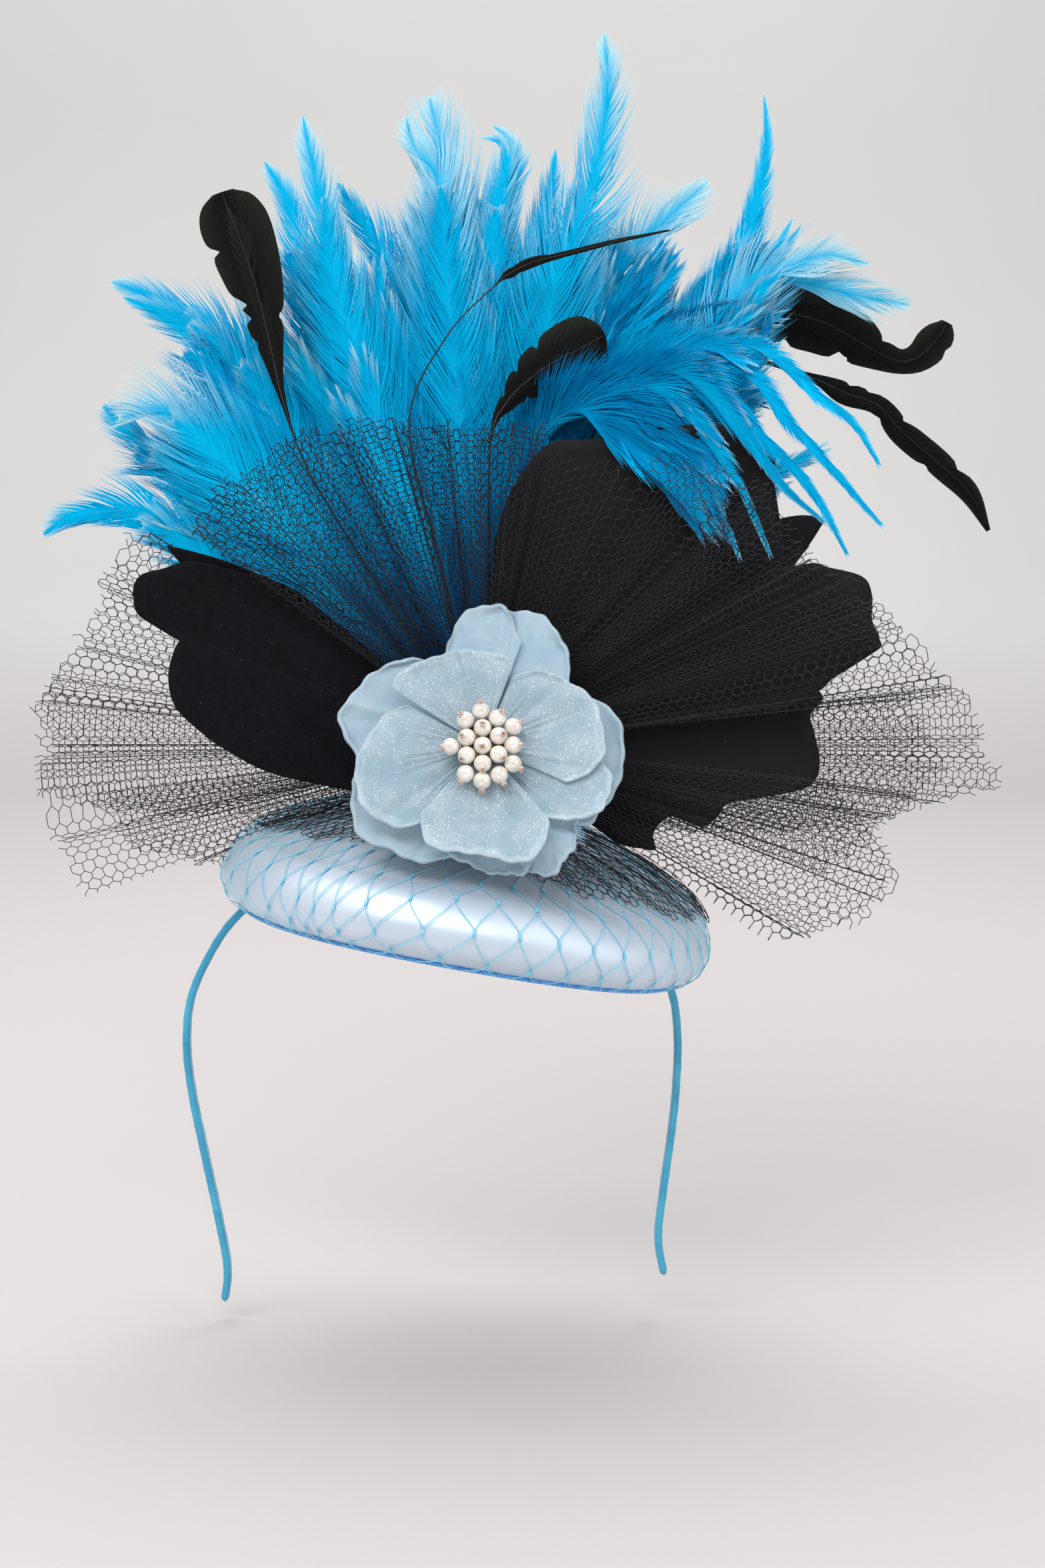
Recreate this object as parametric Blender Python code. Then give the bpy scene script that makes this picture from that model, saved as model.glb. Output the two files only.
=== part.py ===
"""Fascinator: a satin base on a wrapped headband, trimmed with net fans, black petals,
feathers and a fabric flower with a pearl centre.

The trimmings stand on a short post. They are drawn as they are seen from the front:
each outline is a row of (across, up) sizes in millimetres, measured from the post's
axis in the front view, and each piece has its own depth. Pieces that would meet lie in
layers, one behind the other, and lean apart as they leave the post.
"""

import math

import bmesh
import bpy
from mathutils import Euler, Vector
from mathutils.bvhtree import BVHTree

MM = 0.001
SEAT_GAP = 0.3
FOOT_GAP = 0.6

# Front view: where the eye stands, in millimetres, and the post's axis as it sees it.
VIEW_RANGE = 900.0
VIEW_DROP = math.radians(6.0)
VIEW_CENTRE = Vector((28.0, 0.0, 16.0))
VIEW_AHEAD = Vector((0.0, math.cos(VIEW_DROP), -math.sin(VIEW_DROP)))
VIEW_UP = Vector((0.0, math.sin(VIEW_DROP), math.cos(VIEW_DROP)))
EYE = VIEW_CENTRE - VIEW_AHEAD * VIEW_RANGE
AXIS_ACROSS = -13.0
AXIS_UP = 12.6

# Base
BASE_HALF_X = 80.0
BASE_HALF_Y = 70.0
ROLL_RADIUS = 11.5
BASE_WALL = 3.0
DOME_RISE = 9.0
INNER_RISE = 7.0
BEND_X = 13.0
BEND_Y = 5.0
BASE_CENTRE = (10.0, -4.0, -22.3)
BASE_TILT_FORWARD = 7.0
BASE_TILT_SIDE = 10.4
BASE_SEGMENTS = 36
BINDING_RADIUS = 1.1
BINDING_PLACE = -62.0

# Headband
BAND_WIDTH = 6.0
BAND_THICKNESS = 2.7
BAND_STATIONS = 48

# Post and its layers: depth at the axis, and how far each leans back per millimetre out
POST_RADIUS = 7.0
POST_FRONT = -43.0
POST_BACK = -2.0
CLOTH = 1.0
ROOT_RADIUS = POST_RADIUS + SEAT_GAP
LAYERS = {
    "front": {"depth": -26.0, "lean": -0.16},
    "petal_front": {"depth": -24.2, "lean": -0.09},
    "petal_back": {"depth": -22.4, "lean": -0.02},
    "middle": {"depth": -20.6, "lean": 0.05},
    "back": {"depth": -18.8, "lean": 0.12},
    "plume": {"depth": -13.5, "lean": 0.24},
    "rear": {"depth": -7.5, "lean": 0.36},
}

# Net fans: outline, layer, number of pleats, depth of a pleat at the rim
FANS = {
    "tulle_top_left": {
        "layer": "front",
        "pleats": 8,
        "depth": 3.0,
        "columns": 27,
        "outline": [
            (23, 107),
            (-2, 106),
            (-32, 108),
            (-47, 106),
            (-65, 103),
            (-73, 93),
            (-88, 86),
            (-97, 70),
        ],
    },
    "tulle_left": {
        "layer": "middle",
        "pleats": 6,
        "depth": 2.6,
        "columns": 24,
        "outline": [
            (-109, 71),
            (-117, 69),
            (-125, 55),
            (-133, 35),
            (-145, 21),
            (-147, 10),
            (-143, 0),
            (-143, -18),
            (-80, -19),
            (-44, -18),
        ],
    },
    "tulle_left_low": {
        "layer": "back",
        "pleats": 2,
        "depth": 1.6,
        "columns": 10,
        "outline": [(-128, -14), (-122, -26), (-111, -35), (-80, -27), (-50, -19)],
    },
    "tulle_right": {
        "layer": "front",
        "pleats": 5,
        "depth": 1.8,
        "columns": 22,
        "outline": [
            (155, 16),
            (152, 25),
            (136, 42),
            (115, 60),
            (108, 64),
            (96, 84),
            (90, 89),
            (84, 85),
        ],
    },
    "tulle_right_wide": {
        "layer": "middle",
        "pleats": 6,
        "depth": 2.6,
        "columns": 24,
        "outline": [
            (56, -29),
            (110, -29),
            (168, -29),
            (165, -9),
            (163, 2),
            (163, 16),
            (155, 20),
        ],
    },
    "tulle_right_back": {
        "layer": "back",
        "pleats": 2,
        "depth": 1.6,
        "columns": 10,
        "outline": [(110, -43), (140, -50), (144, -45), (144, -37), (142, -27)],
    },
    "tulle_right_low": {
        "layer": "front",
        "pleats": 4,
        "depth": 2.0,
        "columns": 16,
        "outline": [
            (95, -66),
            (123, -67),
            (130, -60),
            (132, -55),
            (128, -48),
            (110, -36),
        ],
    },
}

# Black petals and leaves: outline, layer, height of the wave across them
BLACK_PETALS = {
    "petal_black_left": {
        "layer": "petal_front",
        "wave": 1.2,
        "columns": 24,
        "outline": [
            (-78, 54),
            (-95, 59),
            (-105, 58),
            (-112, 55),
            (-114, 49),
            (-112, 43),
            (-104, 40),
            (-98, 34),
            (-101, 27),
            (-102, 18),
            (-100, 11),
            (-91, 2),
            (-80, -5),
            (-58, -12),
            (-42, -15),
        ],
    },
    "leaf_black_left": {
        "layer": "petal_back",
        "wave": 0.5,
        "columns": 9,
        "outline": [(-60, 58), (-78, 65), (-99, 70), (-95, 65), (-82, 57), (-60, 42)],
    },
    "petal_black_top": {
        "layer": "petal_back",
        "wave": 1.6,
        "columns": 20,
        "outline": [
            (93, 44),
            (97, 57),
            (98, 66),
            (95, 87),
            (95, 96),
            (82, 104),
            (60, 104),
            (35, 99),
            (13, 98),
            (-1, 96),
            (-5, 90),
        ],
    },
    "leaf_black_right": {
        "layer": "middle",
        "wave": 0.5,
        "columns": 9,
        "outline": [(90, 45), (108, 58), (114, 64), (116, 67), (104, 72), (92, 68), (76, 62)],
    },
    "petal_black_right": {
        "layer": "petal_front",
        "wave": 0.9,
        "columns": 18,
        "outline": [
            (98, 12),
            (110, 18),
            (116, 23),
            (130, 27),
            (129, 36),
            (127, 41),
            (127, 49),
            (124, 55),
            (113, 58),
            (106, 59),
            (98, 50),
        ],
    },
    "petal_black_right_low": {
        "layer": "petal_back",
        "wave": 0.9,
        "columns": 18,
        "outline": [
            (72, -27),
            (77, -23),
            (80, -19),
            (91, -17),
            (102, -15),
            (108, -12),
            (110, -5),
            (108, 5),
            (107, 10),
            (111, 16),
            (104, 22),
        ],
    },
    "leaf_black_low": {
        "layer": "petal_front",
        "wave": 0.5,
        "columns": 9,
        "outline": [(44, -32), (54, -37), (56, -28), (61, -23), (66, -22), (64, -17)],
    },
}

# Blue hackles: where each blade is half way and at its tip, its width, and its lean
HACKLES = [
    {"mid": (-99, 76), "tip": (-143, 69), "width": 12, "lean": 0.21},
    {"mid": (-88, 86), "tip": (-124, 111), "width": 16, "lean": 0.26},
    {"mid": (-84, 122), "tip": (-112, 133), "width": 18, "lean": 0.22},
    {"mid": (-80, 130), "tip": (-121, 152), "width": 14, "lean": 0.29},
    {"mid": (-68, 112), "tip": (-90, 125), "width": 26, "lean": 0.20},
    {"mid": (-60, 150), "tip": (-71, 189), "width": 16, "lean": 0.26},
    {"mid": (-48, 150), "tip": (-59, 205), "width": 16, "lean": 0.21},
    {"mid": (-30, 158), "tip": (-48, 184), "width": 21, "lean": 0.24},
    {"mid": (-12, 165), "tip": (-21, 208), "width": 21, "lean": 0.28},
    {"mid": (10, 178), "tip": (1, 201), "width": 14, "lean": 0.22},
    {"mid": (18, 160), "tip": (24, 194), "width": 12, "lean": 0.27},
    {"mid": (31, 175), "tip": (40, 231), "width": 12, "lean": 0.30},
    {"mid": (46, 160), "tip": (73, 183), "width": 17, "lean": 0.24},
    {"mid": (84, 162), "tip": (92, 212), "width": 13, "lean": 0.28},
    {"mid": (84, 152), "tip": (101, 171), "width": 17, "lean": 0.22},
    {"mid": (100, 152), "tip": (139, 144), "width": 16, "lean": 0.30},
    {"mid": (102, 124), "tip": (128, 92), "width": 16, "lean": 0.25},
    {"mid": (103, 106), "tip": (130, 73), "width": 16, "lean": 0.20},
    {"mid": (98, 98), "tip": (118, 64), "width": 16, "lean": 0.16},
]
# The dense body of the plume: broad short blades, by angle round the post
BODY_BLADES = [
    {"angle": 139, "reach": 128, "width": 24},
    {"angle": 128, "reach": 140, "width": 32},
    {"angle": 116, "reach": 150, "width": 35},
    {"angle": 104, "reach": 158, "width": 35},
    {"angle": 91, "reach": 159, "width": 35},
    {"angle": 80, "reach": 158, "width": 35},
    {"angle": 69, "reach": 168, "width": 35},
    {"angle": 59, "reach": 172, "width": 35},
    {"angle": 50, "reach": 150, "width": 32},
]
# Blades that fall forward over the top of the black petal
FALLING = [
    {"rise": (18, 90), "over": (39, 114), "turn": (53, 112), "mid": (61, 96), "tip": (68, 75)},
    {"rise": (22, 92), "over": (51, 121), "turn": (66, 117), "mid": (77, 96), "tip": (84, 65)},
    {"rise": (26, 94), "over": (62, 128), "turn": (81, 121), "mid": (92, 94), "tip": (97, 66)},
]
FALLING_DEPTHS = (8.0, -9.0, -26.0, -33.0, -35.0)
FALLING_WIDTH = 13
BLADE_THICKNESS = 1.3
# Share of a blade's width at each of its stations, from root to tip
BLADE_SWELL = (0.5, 0.8, 1.0, 0.95, 0.6, 0.0)
PLUME_HEAD_REACH = 52.0
PLUME_HEAD_THICKNESS = 4.0

# Black feathers: quill and blade from the post to the tip
COQUES = {
    "coque_left": {
        "layer": "back",
        "stations": [
            {"at": (-4.0, 6.2), "width": 1.2},
            {"at": (-30, 46), "width": 1.2},
            {"at": (-56, 88), "width": 1.2},
            {"at": (-66, 118), "width": 2},
            {"at": (-69, 136), "width": 9},
            {"at": (-73, 146), "width": 14},
            {"at": (-79, 158), "width": 17},
            {"at": (-84, 170), "width": 15},
            {"at": (-86, 177), "width": 9},
            {"at": (-87, 181), "width": 3},
        ],
    },
    "coque_middle": {
        "layer": "back",
        "stations": [
            {"at": (0.6, 7.4), "width": 1.2},
            {"at": (2, 50), "width": 1.2},
            {"at": (3, 100), "width": 1.4},
            {"at": (12, 114), "width": 5},
            {"at": (21, 122), "width": 13},
            {"at": (29, 129), "width": 16},
            {"at": (35, 134), "width": 12},
            {"at": (39, 137), "width": 4},
        ],
    },
    "coque_thin": {
        "layer": "back",
        "stations": [
            {"at": (-1.6, 7.2), "width": 1.2},
            {"at": (-14, 60), "width": 1.2},
            {"at": (-24, 105), "width": 1.2},
            {"at": (-12, 133), "width": 1.2},
            {"at": (8, 152), "width": 1.6},
            {"at": (20, 159), "width": 3.6},
            {"at": (38, 164), "width": 3},
            {"at": (61, 168), "width": 1.2},
        ],
    },
    "coque_curled": {
        "layer": "rear",
        "stations": [
            {"at": (2.8, 6.8), "width": 1.2},
            {"at": (30, 76), "width": 1.2},
            {"at": (62, 122), "width": 2},
            {"at": (88, 139), "width": 12},
            {"at": (98, 141), "width": 19},
            {"at": (110, 139), "width": 22},
            {"at": (121, 133), "width": 18},
            {"at": (133, 127), "width": 9},
            {"at": (140, 126), "width": 7},
            {"at": (146, 131), "width": 9},
            {"at": (150, 138), "width": 6},
        ],
    },
    "coque_low": {
        "layer": "rear",
        "stations": [
            {"at": (4.4, 5.9), "width": 1.2},
            {"at": (36, 74), "width": 1.2},
            {"at": (66, 112), "width": 1.4},
            {"at": (86, 125), "width": 2},
            {"at": (107, 120), "width": 3},
            {"at": (118, 115), "width": 8},
            {"at": (129, 111), "width": 7},
            {"at": (137, 102), "width": 9},
            {"at": (150, 91), "width": 9},
            {"at": (159, 82), "width": 7},
            {"at": (165, 70), "width": 1.6},
        ],
    },
}

# Flower: leans back from its lower edge, in layers that step towards the front
FLOWER_DEPTH = -50.0
FLOWER_LEAN = 0.36
FLOWER_STEP = 1.45
CORE_RADIUS = 2.6
OUTER_CUP = 0.001
INNER_CUP = 0.004
OUTER_PETALS = [
    {"step": 2, "outline": [(13, 34), (9, 43), (4, 47), (-3, 45.5), (-9, 40), (-12, 31), (-13, 20)]},
    {"step": 1, "outline": [(30, 17), (28, 30), (25, 38), (19, 43), (12, 45), (4, 43), (-1, 34)]},
    {
        "step": 0,
        "outline": [(-13, 27), (-25, 29), (-36, 24), (-43, 18), (-47, 12), (-46, 5), (-41, -6), (-34, -12)],
    },
    {
        "step": 1,
        "outline": [(-38, -2), (-43, -13), (-44, -21), (-40, -30), (-33, -34), (-22, -38), (-11, -37), (-4, -30)],
    },
    {"step": 0, "outline": [(-16, -31), (-8, -38), (2, -42), (9, -43), (15, -41), (17, -33)]},
    {"step": 1, "outline": [(10, -34), (14, -41), (20, -43), (25, -41), (30, -34), (32, -24)]},
    {
        "step": 0,
        "outline": [(26, -25), (34, -26), (39, -22), (44, -16), (47, 0), (46, 7), (42, 12), (35, 17), (24, 22)],
    },
]
INNER_PETALS = [
    {"angle": 106, "span": 88, "reach": 33, "step": 5},
    {"angle": 27, "span": 78, "reach": 38, "step": 4},
    {"angle": 188, "span": 68, "reach": 40, "step": 4},
    {"angle": 268, "span": 74, "reach": 38, "step": 5},
    {"angle": 322, "span": 56, "reach": 40, "step": 3},
]

# Pearl centre: where each pearl sits on its plate
PEARL_RADIUS = 2.475
PLATE_RADIUS = 12.0
PLATE_DEPTH = -60.1
PLATE_RISE = 1.6
PLATE_THICKNESS = 1.2
PEARLS = [
    (0, 0),
    (0, 5.7),
    (5.2, 3.1),
    (5.2, -2.9),
    (0, -5.9),
    (-5.2, -3.2),
    (-5.2, 2.6),
    (-0.5, 11.3),
    (4.8, 8.9),
    (10.0, 6.1),
    (9.9, 0.1),
    (9.9, -6.0),
    (5.4, -9.6),
    (-0.2, -11.5),
    (-5.6, -9.2),
    (-10.4, -0.4),
    (-5.6, 8.2),
]

# Finishes: colour as seen (red, green, blue from 0 to 255), roughness, metallic
FINISHES = {
    "satin": {"colour": (176, 203, 230), "roughness": 0.32, "metallic": 0.0},
    "binding": {"colour": (70, 160, 228), "roughness": 0.4, "metallic": 0.0},
    "band_satin": {"colour": (44, 160, 204), "roughness": 0.38, "metallic": 0.0},
    "black_felt": {"colour": (24, 25, 28), "roughness": 0.9, "metallic": 0.0},
    "black_cloth": {"colour": (26, 27, 30), "roughness": 0.75, "metallic": 0.0},
    "black_net": {"colour": (30, 31, 34), "roughness": 0.6, "metallic": 0.0},
    "hackle": {"colour": (0, 160, 214), "roughness": 0.6, "metallic": 0.0},
    "coque": {"colour": (28, 29, 27), "roughness": 0.4, "metallic": 0.0},
    "flower_silk": {"colour": (172, 205, 220), "roughness": 0.5, "metallic": 0.0},
    "flower_organza": {"colour": (190, 216, 228), "roughness": 0.4, "metallic": 0.0},
    "gilt": {"colour": (170, 140, 90), "roughness": 0.4, "metallic": 0.8},
    "pearl": {"colour": (232, 224, 212), "roughness": 0.22, "metallic": 0.0},
}


def clear_scene():
    """Remove every object, so that the part starts from nothing."""
    for item in list(bpy.data.objects):
        bpy.data.objects.remove(item, do_unlink=True)


def linear(value):
    """Turn a colour value from 0 to 255, as seen, into Blender's linear scale."""
    value /= 255.0
    if value <= 0.04045:
        return value / 12.92
    return ((value + 0.055) / 1.055) ** 2.4


def finish(name):
    """Return the named Principled material, and make it the first time."""
    if name in bpy.data.materials:
        return bpy.data.materials[name]
    values = FINISHES[name]
    material = bpy.data.materials.new(name)
    material.use_nodes = True
    shader = material.node_tree.nodes["Principled BSDF"]
    colour = [linear(part) for part in values["colour"]] + [1.0]
    shader.inputs["Base Color"].default_value = colour
    shader.inputs["Roughness"].default_value = values["roughness"]
    shader.inputs["Metallic"].default_value = values["metallic"]
    material.diffuse_color = colour
    return material


def add_piece(name, points, faces, finish_name, smooth=True):
    """Make one object from points in millimetres and faces, with its normals out."""
    mesh = bpy.data.meshes.new(name)
    mesh.from_pydata([tuple(Vector(point) * MM) for point in points], [], faces)
    shape = bmesh.new()
    shape.from_mesh(mesh)
    bmesh.ops.recalc_face_normals(shape, faces=shape.faces)
    if shape.calc_volume(signed=True) < 0:
        bmesh.ops.reverse_faces(shape, faces=shape.faces)
    shape.to_mesh(mesh)
    shape.free()
    if smooth:
        for face in mesh.polygons:
            face.use_smooth = True
        mesh.set_sharp_from_angle(angle=math.radians(40))
    piece = bpy.data.objects.new(name, mesh)
    piece.data.materials.append(finish(finish_name))
    bpy.context.scene.collection.objects.link(piece)
    return piece


def from_front(across, up, depth):
    """Return the point at this depth (y) that the front view shows at across and up."""
    ray = VIEW_AHEAD * VIEW_RANGE + VIEW_UP * (AXIS_UP + up)
    ray.x = AXIS_ACROSS + across
    return EYE + ray * ((depth - EYE.y) / ray.y)


def smooth_curve(points, count):
    """Return count points, evenly spaced, on a Catmull-Rom curve through the points."""
    knots = [Vector(point) for point in points]
    knots = [knots[0] * 2 - knots[1]] + knots + [knots[-1] * 2 - knots[-2]]
    fine = []
    per_span = 12
    for index in range(1, len(knots) - 2):
        before, start, end, after = knots[index - 1 : index + 3]
        for step in range(per_span):
            t = step / per_span
            fine.append(
                0.5
                * (
                    start * 2
                    + (end - before) * t
                    + (before * 2 - start * 5 + end * 4 - after) * t * t
                    + (start * 3 - before - end * 3 + after) * t * t * t
                )
            )
    fine.append(knots[-2])
    return even_points(fine, count)


def even_points(line, count):
    """Return count points at equal steps along a line of points."""
    lengths = [0.0]
    for start, end in zip(line, line[1:]):
        lengths.append(lengths[-1] + (end - start).length)
    result = []
    index = 0
    for step in range(count):
        goal = lengths[-1] * step / (count - 1)
        while index < len(line) - 2 and lengths[index + 1] < goal:
            index += 1
        span = max(lengths[index + 1] - lengths[index], 1e-9)
        result.append(line[index].lerp(line[index + 1], (goal - lengths[index]) / span))
    return result


def polar_rim(outline, columns):
    """Return (angle, reach) for each column of a sheet, with the angle always growing."""
    rim = []
    for point in smooth_curve([(a, b, 0) for a, b in outline], columns):
        angle = math.atan2(point.y, point.x)
        while rim and angle < rim[-1][0] - math.pi:
            angle += math.tau
        if rim:
            angle = max(angle, rim[-1][0] + math.radians(0.25))
        rim.append((angle, math.hypot(point.x, point.y)))
    return rim


def sheet_solid(name, rim, depth_at, root, finish_name, rows=3, thickness=CLOTH):
    """Make a cloth sheet that spreads from a small arc at the post out to its rim.

    depth_at(across, up, angle, reach, share) gives the depth of the sheet's middle.
    """
    points = []
    for side in (-0.5, 0.5):
        for column, (angle, reach) in enumerate(rim):
            for row in range(rows + 1):
                share = row / rows
                distance = root + (reach - root) * share
                across = distance * math.cos(angle)
                up = distance * math.sin(angle)
                turn = column / (len(rim) - 1)
                depth = depth_at(across, up, turn, distance, share)
                points.append(from_front(across, up, depth + side * thickness))
    stride = rows + 1
    layer = len(rim) * stride
    faces = []
    for column in range(len(rim) - 1):
        for row in range(rows):
            corner = column * stride + row
            face = [corner, corner + 1, corner + stride + 1, corner + stride]
            faces.append(face)
            faces.append([index + layer for index in reversed(face)])
    edge = [column * stride for column in range(len(rim))]
    edge += [(len(rim) - 1) * stride + row for row in range(1, stride)]
    edge += [column * stride + rows for column in range(len(rim) - 2, -1, -1)]
    edge += [row for row in range(rows - 1, 0, -1)]
    for start, end in zip(edge, edge[1:] + edge[:1]):
        faces.append([start, start + layer, end + layer, end])
    return add_piece(name, points, faces, finish_name)


def build_fans():
    """Build the pleated net fans as thin sheets."""
    for name, fan in FANS.items():
        layer = LAYERS[fan["layer"]]
        rim = polar_rim(fan["outline"], fan["columns"])

        def depth_at(across, up, turn, distance, share, fan=fan, layer=layer):
            pleat = math.sin(math.tau * fan["pleats"] * turn) * fan["depth"]
            return layer["depth"] + layer["lean"] * distance + pleat * share**1.3

        sheet_solid(name, rim, depth_at, ROOT_RADIUS, "black_net", rows=2)


def build_black_petals():
    """Build the black petals and leaves, each with a shallow wave across it."""
    for name, petal in BLACK_PETALS.items():
        layer = LAYERS[petal["layer"]]
        rim = polar_rim(petal["outline"], petal["columns"])

        def depth_at(across, up, turn, distance, share, petal=petal, layer=layer):
            wave = math.sin(math.tau * 1.5 * turn) * petal["wave"] * share
            return layer["depth"] + layer["lean"] * distance + wave

        cloth = "black_felt" if "left" in name else "black_cloth"
        sheet_solid(name, rim, depth_at, ROOT_RADIUS, cloth, rows=2)


def flower_depth(across, up, distance, cup, step):
    """Depth of a flower petal's middle: leaning, cupped and stepped to its layer."""
    return FLOWER_DEPTH + FLOWER_LEAN * up - cup * distance**2 - step * FLOWER_STEP


def build_flower():
    """Build the flower's backing with its core, seven outer and five inner petals."""
    root = CORE_RADIUS + SEAT_GAP
    for number, petal in enumerate(OUTER_PETALS, 1):
        rim = polar_rim(petal["outline"], 9)

        def outer_depth(across, up, turn, distance, share, step=petal["step"]):
            return flower_depth(across, up, distance, OUTER_CUP, step)

        sheet_solid(f"outer_petal_{number}", rim, outer_depth, root, "flower_silk")
    for number, petal in enumerate(INNER_PETALS, 1):
        rim = []
        for column in range(9):
            offset = column / 4 - 1
            angle = math.radians(petal["angle"] + offset * petal["span"] / 2)
            rim.append((angle, petal["reach"] * (1 - 0.22 * abs(offset) ** 2.4)))

        def inner_depth(across, up, turn, distance, share, step=petal["step"]):
            return flower_depth(across, up, distance, INNER_CUP, step)

        sheet_solid(f"inner_petal_{number}", rim, inner_depth, root, "flower_organza")
    build_flower_backing()


def build_flower_backing():
    """Build the disc behind the petals and the core that they are sewn round."""
    back = POST_FRONT - FLOWER_DEPTH - SEAT_GAP
    disc_front = 1.1
    core_front = 6 * FLOWER_STEP - 0.2
    # Each ring: radius, and distance in front of the rearmost petal's middle
    profile = [(0.0, -back), (8.0, -back), (8.0, -disc_front), (CORE_RADIUS, -disc_front)]
    profile += [(CORE_RADIUS, core_front), (0.0, core_front)]
    revolve_front("flower_backing", profile, FLOWER_DEPTH, FLOWER_LEAN, "flower_silk", 20)


def revolve_front(name, profile, depth, lean, finish_name, segments):
    """Turn a profile of (radius, distance to the front) round the flower's axis."""
    points = []
    rings = []
    for radius, ahead in profile:
        if radius == 0.0:
            rings.append([len(points)])
            points.append(from_front(0, 0, depth - ahead))
            continue
        rings.append(list(range(len(points), len(points) + segments)))
        for index in range(segments):
            angle = math.tau * index / segments
            across = radius * math.cos(angle)
            up = radius * math.sin(angle)
            points.append(from_front(across, up, depth + lean * up - ahead))
    return add_piece(name, points, ring_faces(rings), finish_name)


def ring_faces(rings):
    """Join neighbouring rings of points with faces; a ring of one point is a tip."""
    faces = []
    for first, second in zip(rings, rings[1:]):
        count = max(len(first), len(second))
        for index in range(count):
            after = (index + 1) % count
            corners = [
                first[index % len(first)],
                first[after % len(first)],
                second[after % len(second)],
                second[index % len(second)],
            ]
            faces.append(list(dict.fromkeys(corners)))
    return faces


def plate_front(distance):
    """Distance from the plate's rim plane to its domed front, at this radius."""
    return PLATE_RISE * (1 - (distance / PLATE_RADIUS) ** 2)


def build_pearl_centre():
    """Build the domed plate and the pearls that sit on it."""
    profile = [(0.0, -PLATE_THICKNESS), (PLATE_RADIUS, -PLATE_THICKNESS)]
    for radius in (12.0, 9.0, 6.0, 3.0, 0.0):
        profile.append((radius, plate_front(radius)))
    revolve_front("pearl_plate", profile, PLATE_DEPTH, FLOWER_LEAN, "gilt", 20)
    for number, (across, up) in enumerate(PEARLS, 1):
        ahead = plate_front(math.hypot(across, up)) + PEARL_RADIUS / math.cos(math.atan(FLOWER_LEAN))
        depth = PLATE_DEPTH + FLOWER_LEAN * up - ahead - SEAT_GAP - 0.1
        centre = from_front(across, up, depth)
        add_ball(f"pearl_{number:02d}", centre, PEARL_RADIUS)


def add_ball(name, centre, radius):
    """Make a pearl as a round bead."""
    shape = bmesh.new()
    bmesh.ops.create_uvsphere(shape, u_segments=10, v_segments=5, radius=radius)
    points = [vertex.co + centre for vertex in shape.verts]
    faces = [[vertex.index for vertex in face.verts] for face in shape.faces]
    shape.free()
    return add_piece(name, points, faces, "pearl")


def blade_points(stations, sides=4):
    """Return points and faces of a closed flat blade, without a twist along it.

    Each station is (across, up, depth, width, thickness), from root to tip.
    """
    points = []
    rings = []
    line = [Vector(station[:3]) for station in stations]
    breadth = Vector((line[0].y - line[1].y, line[1].x - line[0].x, 0.0))
    for index, (across, up, depth, width, thickness) in enumerate(stations):
        along = line[min(index + 1, len(line) - 1)] - line[max(index - 1, 0)]
        along.normalize()
        breadth = (breadth - along * breadth.dot(along)).normalized()
        through = along.cross(breadth)
        rings.append(list(range(len(points), len(points) + sides)))
        for side in range(sides):
            angle = math.tau * side / sides
            place = line[index] + breadth * (width / 2 * math.cos(angle))
            place += through * (thickness / 2 * math.sin(angle))
            points.append(from_front(place.x, place.y, place.z))
    faces = ring_faces(rings)
    faces.append(rings[0][::-1])
    faces.append(rings[-1])
    return points, faces


def build_coques():
    """Build the black feathers, each a thin quill that widens into a flat blade."""
    for name, feather in COQUES.items():
        layer = LAYERS[feather["layer"]]
        rows = [(s["at"][0], s["at"][1], s["width"]) for s in feather["stations"]]
        stations = []
        for across, up, width in smooth_curve(rows, 18):
            depth = layer["depth"] + layer["lean"] * math.hypot(across, up)
            stations.append((across, up, depth, max(width, 1.0), 1.2))
        points, faces = blade_points(stations)
        add_piece(name, points, faces, "coque")


def plume_blade(points, width, depths, count=6):
    """Return the solid of one blade through (across, up) points with their depths."""
    rows = [(a, b, d) for (a, b), d in zip(points, depths)]
    stations = []
    for index, (across, up, depth) in enumerate(smooth_curve(rows, count)):
        place = index / (count - 1) * (len(BLADE_SWELL) - 1)
        low = min(int(place), len(BLADE_SWELL) - 2)
        swell = BLADE_SWELL[low] + (BLADE_SWELL[low + 1] - BLADE_SWELL[low]) * (place - low)
        breadth = max(width * swell, 1.0)
        stations.append((across, up, depth, breadth, BLADE_THICKNESS))
    return blade_points(stations)


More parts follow.
